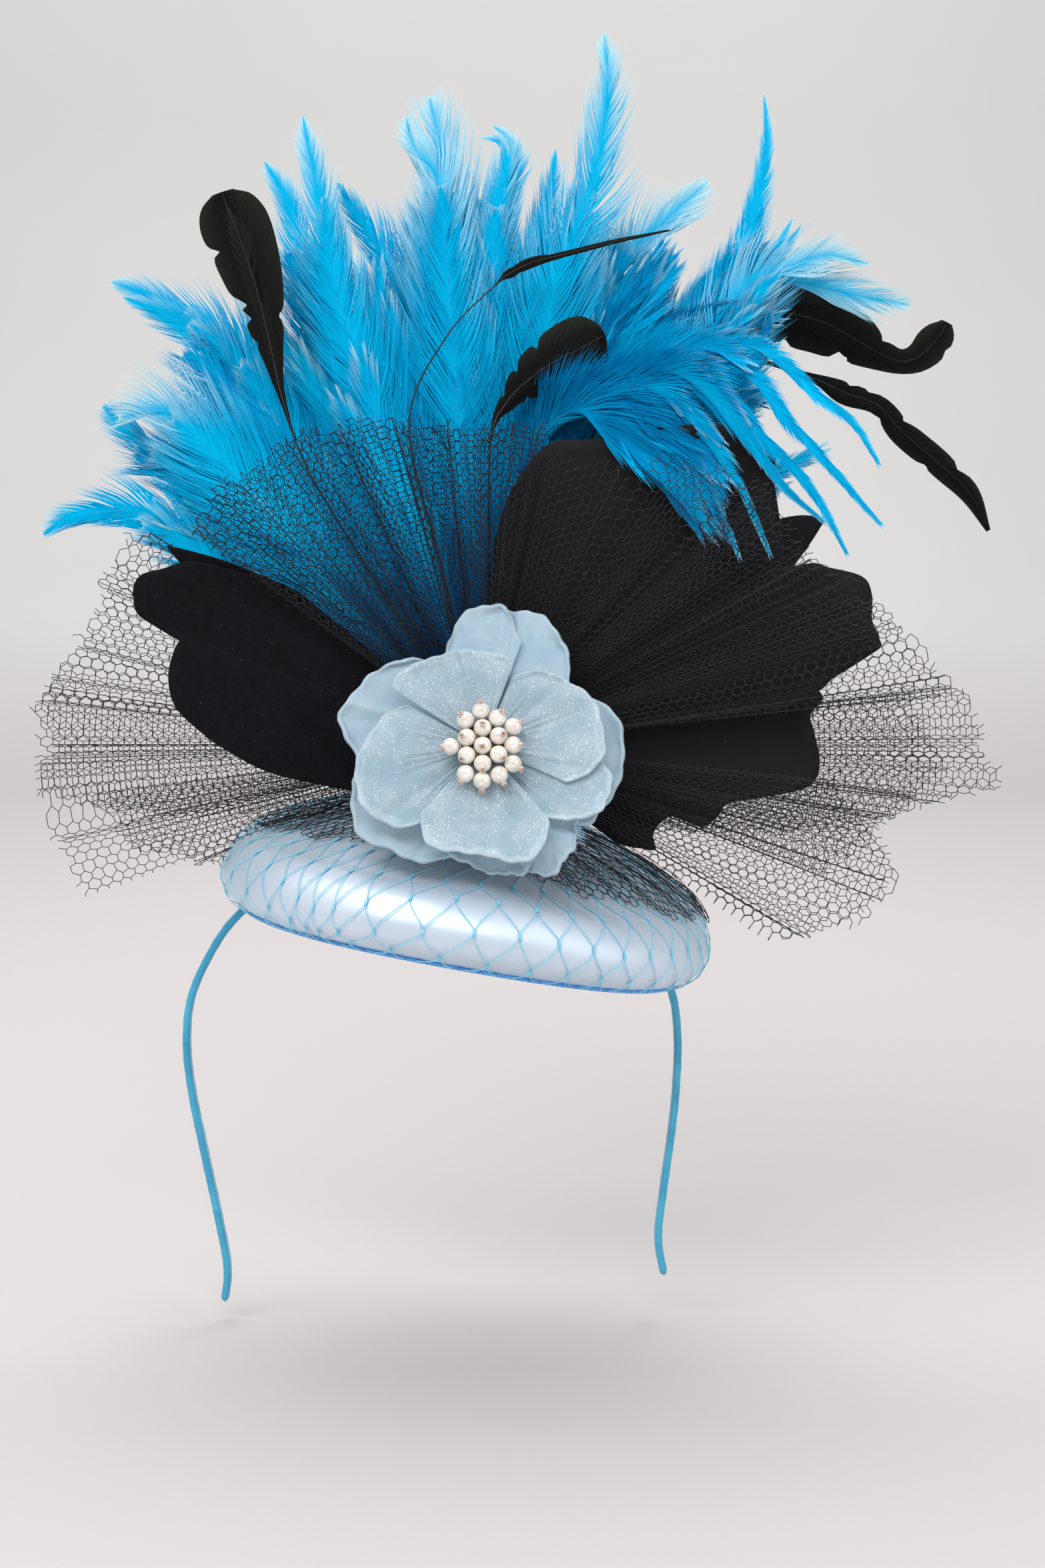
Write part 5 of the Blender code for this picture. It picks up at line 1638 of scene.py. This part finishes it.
@dataclass
class Flower:
    """The fabric flower: rolled silk petals outside, glittering organza inside."""

    depth: float = -50.0
    lean: float = 0.36
    step: float = 1.45
    root: float = 2.9
    outer_cup: float = 0.001
    inner_cup: float = 0.004
    outer_roll: float = 1.0
    inner_roll: float = 0.22
    columns: int = 60
    rows: int = 30
    creases: int = 6
    thickness: float = 0.28
    # Outer petals: layer, counted from the back, and outline
    outer: tuple[tuple[int, Outline], ...] = (
        (2, [(13, 34), (9, 43), (4, 47), (-3, 45.5), (-9, 40), (-12, 31), (-13, 20)]),
        (1, [(30, 17), (28, 30), (25, 38), (19, 43), (12, 45), (4, 43), (-1, 34)]),
        (0, [(-13, 27), (-25, 29), (-36, 24), (-43, 18), (-47, 12), (-46, 5), (-41, -6), (-34, -12)]),
        (1, [(-38, -2), (-43, -13), (-44, -21), (-40, -30), (-33, -34), (-22, -38), (-11, -37), (-4, -30)]),
        (0, [(-16, -31), (-8, -38), (2, -42), (9, -43), (15, -41), (17, -33)]),
        (1, [(10, -34), (14, -41), (20, -43), (25, -41), (30, -34), (32, -24)]),
        (0, [(26, -25), (34, -26), (39, -22), (44, -16), (47, 0), (46, 7), (42, 12), (35, 17), (24, 22)]),
    )
    # Inner petals: layer, and outline
    inner: tuple[tuple[int, Outline], ...] = (
        (
            5,
            [
                (9, 24), (10, 27), (3.2, 30.6), (-5.3, 31.4), (-14.4, 29.9), (-21.6, 26.7), (-29, 23),
                (-29, 18),
            ],
        ),
        (
            4,
            [
                (27, -12), (34, -10), (39, -4), (40, 3.5), (38.4, 11.3), (33, 18), (26, 22.4),
                (17.5, 24.5), (10, 23),
            ],
        ),
        (
            4,
            [
                (-24, 13), (-31, 11), (-36, 6), (-39, 0), (-42, -7), (-41.7, -13.4), (-38.5, -20.6),
                (-33, -25.5), (-27, -27), (-20, -25),
            ],
        ),
        (
            5,
            [
                (-20, -22), (-20, -27), (-17.6, -32.3), (-12.4, -35), (-5.3, -35.2), (1.2, -36),
                (7.8, -38.5), (14.3, -37.8), (19.5, -33.6), (22, -27), (21, -23),
            ],
        ),
        (
            3,
            [
                (15, -20), (18, -22), (24, -24), (31, -24.5), (38.4, -21.2), (42, -16), (42, -10),
                (38, -4), (33, 0),
            ],
        ),
    )

    def build(self) -> None:
        """Build the petals and what they are sewn to."""
        silk = SILK.material()
        organza = ORGANZA.material()
        self.build_backing(silk)
        for kind, petals, cup, finish, slot, roll in (
            ("outer", self.outer, self.outer_cup, silk, "flower_silk", self.outer_roll),
            ("inner", self.inner, self.inner_cup, organza, "flower_organza", self.inner_roll),
        ):
            for number, (layer, outline) in enumerate(petals, 1):
                angles, reaches = polar_rim(outline, self.columns)
                self.build_petal(f"{kind}_petal_{number}", angles, reaches, cup, layer, finish, slot, roll)

    def build_petal(
        self,
        node: str,
        angles: Array,
        reaches: Array,
        cup: float,
        layer: int,
        finish: bpy.types.Material,
        slot: str,
        roll: float,
    ) -> None:
        """Build one petal, pleated at the root and rolled at the rim.

        Args:
            node: The CAD node that it replaces.
            angles: Angle of each column.
            reaches: Reach of each column.
            cup: How strongly it bends forward.
            layer: How many steps it lies in front of the rearmost petal.
            finish: Its material.
            slot: The record's slot for it.
            roll: Radius of the rolled rim.
        """
        rng = np.random.default_rng(len(node) + layer * 7 + int(abs(angles[0]) * 50))
        share = np.linspace(0, 1, self.rows)[None]
        turn = np.linspace(0, 1, len(angles))[:, None]
        ruffle = 0.012 * np.sin(21 * turn[:, 0] + rng.uniform(0, 6)) + 0.006 * np.sin(53 * turn[:, 0])
        reaches = reaches * (1 + ruffle)
        distance = self.root + (reaches[:, None] - self.root) * share
        angle = angles[:, None] + 0 * distance
        up = distance * np.sin(angle)
        depth = self.depth + self.lean * up - cup * distance**2 - layer * self.step
        gather = np.exp(-(((share - 0.32) / 0.3) ** 2))
        pleat = np.sin(
            math.tau * (turn * 9 + 0.5 * np.sin(turn * 17 + layer)) + rng.uniform(0, 6)
        ) * 0.3 * gather
        wave = np.sin(math.tau * (turn * 1.4 + rng.uniform())) * 0.5 * share**2
        for _ in range(self.creases):
            place, width, height = rng.uniform(0.1, 0.9), rng.uniform(0.02, 0.08), rng.uniform(-1.0, 1.0)
            wave = wave + height * np.exp(-(((turn - place - 0.05 * share) / width) ** 2)) * share
        depth = depth + pleat + wave
        bend = smooth_step(share, 0.9 - 0.05 * np.sin(math.tau * (turn * 2.3 + rng.uniform())), 1.0)
        drift = 0.55 + 0.45 * np.sin(math.tau * (turn * 1.7 + rng.uniform()))
        depth = depth - (0.9 + 0.8 * roll) * drift * bend
        distance = distance - roll * 0.8 * bend**3
        middle, cloth = FRONT_VIEW.spread(distance, angle, depth)
        line = 0.925 + 0.018 * np.sin(math.tau * (turn * 3.1 + rng.uniform()))
        hem = smooth_step(share, line, line + 0.012)
        crumple = 1 + 0.22 * np.sin(math.tau * turn * 17 + 2 * np.sin(31 * turn))
        thickness = self.thickness + roll * crumple * smooth_step(share, 0.945, 0.985)
        draft = MeshDraft()
        draft.add_shell(middle[::-1], thickness[::-1], cloth=cloth[::-1], hem=hem[::-1])
        piece = draft.build(f"{node}_cloth", finish, slot, [node])

    def build_backing(self, silk: bpy.types.Material) -> None:
        """Build the disc behind the petals, with the core that they are sewn round."""
        # Each ring: radius, and distance in front of the rearmost petal's middle
        profile = [(0.01, 6.7), (7.4, 6.7), (8.0, 6.2), (8.0, 1.6), (7.5, 1.1), (2.6, 1.1)]
        profile = [(radius, -ahead) for radius, ahead in profile] + [(2.6, 8.5), (0.01, 8.5)]
        turn = circle_angles(48)
        rows = []
        for radius, ahead in profile:
            up = radius * np.sin(turn)
            rows.append(FRONT_VIEW.place(radius * np.cos(turn), up, self.depth + self.lean * up - ahead))
        points = np.stack(rows)
        cloth = np.stack([points[..., 0], points[..., 2], 0 * points[..., 0]], axis=-1)
        draft = MeshDraft()
        draft.add_grid(points, (False, True), cloth=cloth)
        draft.build("backing_disc", silk, "flower_silk", ["flower_backing"])


@dataclass
class PearlCentre:
    """The domed gilt plate with its pearls, each topped with a seed bead."""

    radius: float = 2.475
    plate_radius: float = 12.0
    plate_depth: float = -60.1
    plate_rise: float = 1.6
    lean: float = 0.36
    gap: float = 0.4
    swell: float = 1.1
    hub_radius: float = 7.0
    cup_radius: float = 2.1
    bead_radius: float = 0.95
    bead_spread: float = 0.26
    places: Outline = (
        (0, 0), (0, 5.7), (5.2, 3.1), (5.2, -2.9), (0, -5.9), (-5.2, -3.2), (-5.2, 2.6), (-0.5, 11.3),
        (4.8, 8.9), (10.0, 6.1), (9.9, 0.1), (9.9, -6.0), (5.4, -9.6), (-0.2, -11.5), (-5.6, -9.2),
        (-10.4, -0.4), (-5.6, 8.2),
    )

    def centre(self, across: float, up: float) -> Array:
        """Return the middle of the pearl at this place on the plate."""
        rise = self.plate_rise * (1 - (across**2 + up**2) / self.plate_radius**2)
        ahead = rise + self.radius / math.cos(math.atan(self.lean)) + self.gap
        return FRONT_VIEW.place(across, up, self.plate_depth + self.lean * up - ahead)

    def build(self) -> None:
        """Build the pearls, the seed beads and the plate's finish."""
        pearl = PEARL.material()
        beads = MeshDraft()
        for number, (across, up) in enumerate(self.places, 1):
            middle = self.centre(across, up)
            self.build_pearl(number, middle, pearl)
            self.add_bead(beads, middle, across, up)
        beads.build("seed_beads", SEED.material(), "gilt", [])
        self.build_setting()

    def build_setting(self) -> None:
        """Build the gilt plate as a small hub with a cup under each pearl."""
        draft = MeshDraft()
        discs = [(0.0, 0.0, self.hub_radius, 0.0)]
        discs += [(across, up, self.cup_radius, 0.25) for across, up in self.places]
        turn = circle_angles(30)
        for across, up, radius, ahead in discs:
            rows = []
            for share, back in ((0.02, 0.0), (0.85, 0.0), (1.0, 0.25), (1.0, 0.9), (0.85, 1.1), (0.02, 1.1)):
                wide = across + radius * share * np.cos(turn)
                high = up + radius * share * np.sin(turn)
                rise = self.plate_rise * (1 - (wide**2 + high**2) / self.plate_radius**2)
                rows.append(
                    FRONT_VIEW.place(wide, high, self.plate_depth + self.lean * high - rise + back - ahead),
                )
            draft.add_grid(np.stack(rows), (False, True))
        draft.build("gilt_setting", GILT.material(), "gilt", ["pearl_plate"])

    def build_pearl(self, number: int, middle: Array, finish: bpy.types.Material) -> None:
        """Build one pearl with the dimple of its drilled hole at the front."""
        rows, sides = 20, 32
        tilt = np.linspace(0.03, math.pi - 0.001, rows)[:, None]
        turn = (circle_angles(sides))[None]
        radius = self.radius * self.swell * (1 - 0.14 * np.exp(-((tilt / 0.17) ** 2)))
        x = radius * np.sin(tilt) * np.cos(turn)
        z = radius * np.sin(tilt) * np.sin(turn)
        y = -radius * np.cos(tilt) + 0 * turn
        draft = MeshDraft()
        draft.add_grid(middle + np.stack([x, y, z], axis=-1), (False, True))
        draft.build(f"pearl_bead_{number:02d}", finish, "pearl", [f"pearl_{number:02d}"])

    def add_bead(self, draft: MeshDraft, middle: Array, across: float, up: float) -> None:
        """Add the short glass bead that is threaded on a pearl's front."""
        shift = self.bead_spread * np.array([across, 0.0, up])
        out = self.radius * self.swell + self.bead_radius * 0.5
        ahead = math.sqrt(max(out**2 - shift @ shift, 0.5))
        axis = unit(shift + np.array([0.0, -ahead, 0.0]))
        half = 0.62
        rim = self.bead_radius
        # Section of the bead: radius, and place along its axis
        profile = [
            (0.35, -half), (rim * 0.85, -half), (rim, -half * 0.6), (rim, half * 0.6),
            (rim * 0.85, half), (0.35, half),
        ]
        across_way = unit(np.cross(axis, [0.0, 0.0, 1.0]))
        over = np.cross(axis, across_way)
        turn = (circle_angles(18))[None, :, None]
        rings = np.array(profile)[:, None, :]
        points = middle + axis * (out + rings[..., 1:2])
        points = points + (across_way * np.cos(turn) + over * np.sin(turn)) * rings[..., 0:1]
        draft.add_grid(points, (True, True))


FANS = [
    NetFan(
        "tulle_top_left", Layer.FRONT, 8, 3.0,
        [(23, 107), (-2, 106), (-32, 108), (-47, 106), (-65, 103), (-73, 93), (-88, 86), (-97, 70)], 3,
    ),
    NetFan(
        "tulle_left", Layer.MIDDLE, 6, 2.6,
        [
            (-109, 71), (-117, 69), (-125, 55), (-133, 35), (-145, 21), (-147, 10), (-143, 0),
            (-143, -18), (-80, -19), (-44, -18),
        ],
    ),
    NetFan(
        "tulle_left_fold", Layer.PETAL_BACK, 1, 0.6, [(-146, 20), (-147, 15), (-143, 8)], 1,
        own_node=False,
    ),
    NetFan(
        "tulle_left_low", Layer.BACK, 2, 1.6,
        [(-128, -14), (-122, -26), (-111, -35), (-80, -27), (-50, -19)],
    ),
    NetFan(
        "tulle_right", Layer.FRONT, 5, 1.8,
        [(155, 16), (152, 25), (136, 42), (115, 60), (108, 64), (96, 84), (90, 89), (84, 85)],
    ),
    NetFan(
        "tulle_right_wide", Layer.MIDDLE, 6, 2.6,
        [(56, -29), (110, -29), (168, -29), (165, -9), (163, 2), (163, 16), (155, 20)],
    ),
    NetFan(
        "tulle_right_back", Layer.BACK, 2, 1.6,
        [(110, -43), (140, -50), (144, -45), (144, -37), (142, -27)],
    ),
    NetFan(
        "tulle_right_low", Layer.FRONT, 4, 2.0,
        [(95, -66), (123, -67), (130, -60), (132, -55), (128, -48), (110, -36)],
    ),
    NetFan(
        "tulle_top_right", Layer.FRONT, 4, 1.6, [(93, 78), (84, 90), (64, 95), (40, 93), (22, 100)], 1,
        own_node=False,
    ),
]

PETALS = [
    Petal(
        "petal_black_left", Layer.PETAL_FRONT, 1.2, 1.0,
        [
            (-73.4, 54.5), (-87.6, 58.5), (-97.3, 59.8), (-104.4, 57.6), (-111, 55.9), (-113.7, 52.7),
            (-114, 48.3), (-111.5, 41.8), (-98, 39.2), (-100.9, 30.5), (-102.6, 22.6), (-100.9, 13.7),
            (-94.7, 6.6), (-84, -1.4), (-68, -9.4), (-42, -15),
        ],
    ),
    Petal(
        "leaf_black_left", Layer.PETAL_BACK, 0.5, 0.6,
        [(-60, 50), (-80, 62.5), (-99, 70.5), (-95.5, 66), (-84, 58.5), (-60, 42)],
    ),
    Petal(
        "petal_black_top", Layer.PETAL_BACK, 1.6, 1.6,
        [
            (93, 44), (97, 57), (98, 66), (95, 87), (95, 96), (82, 104), (60, 104), (36, 100), (23, 99),
            (15, 92), (8, 80), (4, 66),
        ],
    ),
    Petal(
        "leaf_black_right", Layer.MIDDLE, 0.5, 0.6,
        [(90, 45), (108, 58), (114, 64), (116, 67), (104, 72), (92, 68), (76, 62)],
    ),
    Petal(
        "petal_black_right", Layer.PETAL_FRONT, 0.9, 1.8,
        [
            (98, 12), (110, 18), (116, 23), (130, 27), (129, 36), (127, 41), (127, 49), (124, 55),
            (113, 58), (106, 59), (98, 50),
        ],
    ),
    Petal(
        "petal_black_right_low", Layer.PETAL_BACK, 0.9, 1.4,
        [
            (72, -27), (77, -23), (80, -19), (91, -17), (102, -15), (108, -12), (110, -5), (108, 5),
            (107, 10), (111, 16), (104, 22),
        ],
    ),
    Petal(
        "leaf_black_low", Layer.PETAL_FRONT, 0.5, 0.6,
        [(44, -32), (54, -37), (56, -28), (61, -23), (66, -22), (64, -17)],
    ),
]


@dataclass
class PostWrap:
    """The gathered felt round the hidden post, in folds down to the satin."""

    front: float = -43.0
    back: float = -2.0
    lean: float = 0.36
    folds: float = 8.5
    rows: int = 90
    # Half of the wrap's section, (across, up), from the foot to the top
    section: Outline = (
        (10, -30), (9.4, -22), (8.4, -13), (8.2, -5), (8.2, 1), (6.6, 5.6), (3.2, 7.9), (0, 8.3),
    )

    def build(self, base: SatinBase, finish: bpy.types.Material) -> None:
        """Build the wrap as one closed body that stands on the dome."""
        half = smooth_curve(self.section, 26)
        line = np.vstack([half, half[-2::-1] * [-1, 1]])
        way = unit(np.gradient(line, axis=0))
        out = np.stack([way[:, 1], -way[:, 0]], axis=1)
        share = np.linspace(0, 1, self.rows)[:, None]
        spot = np.linspace(-1, 1, len(line))[None]
        fold = np.sin(math.tau * self.folds * share + 0.9 * np.sin(5 * spot) + 1.7 * np.sin(9 * share))
        size = fold * (0.25 + 1.1 * np.abs(spot) ** 1.5)
        size = size - 4.0 * (1 - np.sqrt(np.clip(np.minimum(share, 1 - share) / 0.08, 0, 1)))
        across = line[None, :, 0] + out[None, :, 0] * size
        up = line[None, :, 1] + out[None, :, 1] * size
        front = self.front + self.lean * np.maximum(up, -8.0)
        depth = front + (self.back - front) * share
        depth = depth + (share - 0.5) * -12.0 * smooth_step(-up, 7.0, 24.0)
        points = FRONT_VIEW.place(across, up, depth)
        points = base.raised(points, 0.35)
        cloth = np.stack([share * 41 + 0 * up, up, 0 * up], axis=-1)
        draft = MeshDraft()
        draft.add_grid(points, (False, True), cloth=cloth)
        draft.add_caps(self.rows, len(line))
        draft.build("post_wrap", finish, "black_felt", ["trim_stem"])


@dataclass
class NetOverSatin:
    """Loose black net that the fans let down over the sides of the satin."""

    cell: float = 2.4
    radius: float = 0.15
    girth: float = 76.0
    start: float = 18.0
    height: float = 56.0
    plies: int = 2
    jitter: float = 0.15
    # Each patch: first and last angle round the base, and its lower edge's run at both
    patches: tuple[tuple[float, float, float, float], ...] = (
        (-80.0, 25.0, 48.0, 20.0), (172.0, 252.0, 30.0, 54.0),
    )

    def build(self, base: SatinBase, finish: bpy.types.Material) -> None:
        """Build two plies of net on every patch."""
        draft = MeshDraft()
        rng = np.random.default_rng(97)
        rise = self.cell * math.sqrt(3) / 2
        for first, last, low_first, low_last in self.patches:
            wide = math.radians(last - first) * self.girth
            sizes = (
                np.arange(int(self.height / rise)), np.arange(int(wide / (3 * self.cell)) + 1),
                (-0.5, 0.5),
            )
            row, column, end = np.meshgrid(*sizes, indexing="ij")
            for ply in range(self.plies):
                across = (
                    column * 3 + (row % 2) * 1.5 + end
                ) * self.cell + rng.normal(0, self.jitter, row.shape)
                run = self.start + (row + 0.4 * ply) * rise + rng.normal(0, self.jitter, row.shape)
                share = across / wide
                angle = math.radians(first) + across / self.girth + 0.03 * np.sin(run / 7 + 2 * ply)
                low = low_first + (low_last - low_first) * share + 1.5 * np.sin(share * 19 + ply)
                lift = 1.3 + 0.9 * ply + 0.5 * np.sin(across / 3.1 + ply)
                points = base.outer_point(run, angle, lift).reshape(-1, 3)
                inside = ((run > low) & (share >= 0) & (share <= 1)).ravel()
                number = np.arange(len(points)).reshape(row.shape)
                for begin, stop in hexagon_pairs(number):
                    near = np.linalg.norm(points[begin] - points[stop], axis=1) < 2 * self.cell
                    keep = inside[begin] & inside[stop] & near
                    draft.add_rods(points[begin[keep]], points[stop[keep]], self.radius)
        draft.build("net_over_satin", finish, "black_net", [])


def build_petals(base: SatinBase) -> None:
    """Build the black petals and leaves, felt on the left and smooth cloth elsewhere."""
    felt = BLACK_FELT.material()
    smooth = BLACK_CLOTH.material()
    PostWrap().build(base, felt)
    for seed, petal in enumerate(PETALS, 31):
        soft = "left" in petal.node
        petal.build(felt if soft else smooth, "black_felt" if soft else "black_cloth", seed)


def build_fans(base: SatinBase) -> None:
    """Build every net fan, and the net that lies over the satin."""
    net = BLACK_NET.material()
    NetOverSatin().build(base, net)
    for seed, fan in enumerate(FANS, 51):
        fan.build(net, seed)


def main() -> None:
    """Build the studio and every piece of the fascinator, in order."""
    logging.basicConfig(level=logging.INFO, format="%(name)s %(message)s")
    Studio().build()
    base = SatinBase()
    base.build()
    Headband().build()
    build_fans(base)
    build_petals(base)
    HacklePlume().build()
    CoqueFeathers().build()
    Flower().build()
    PearlCentre().build()


if __name__ == "__main__":
    main()
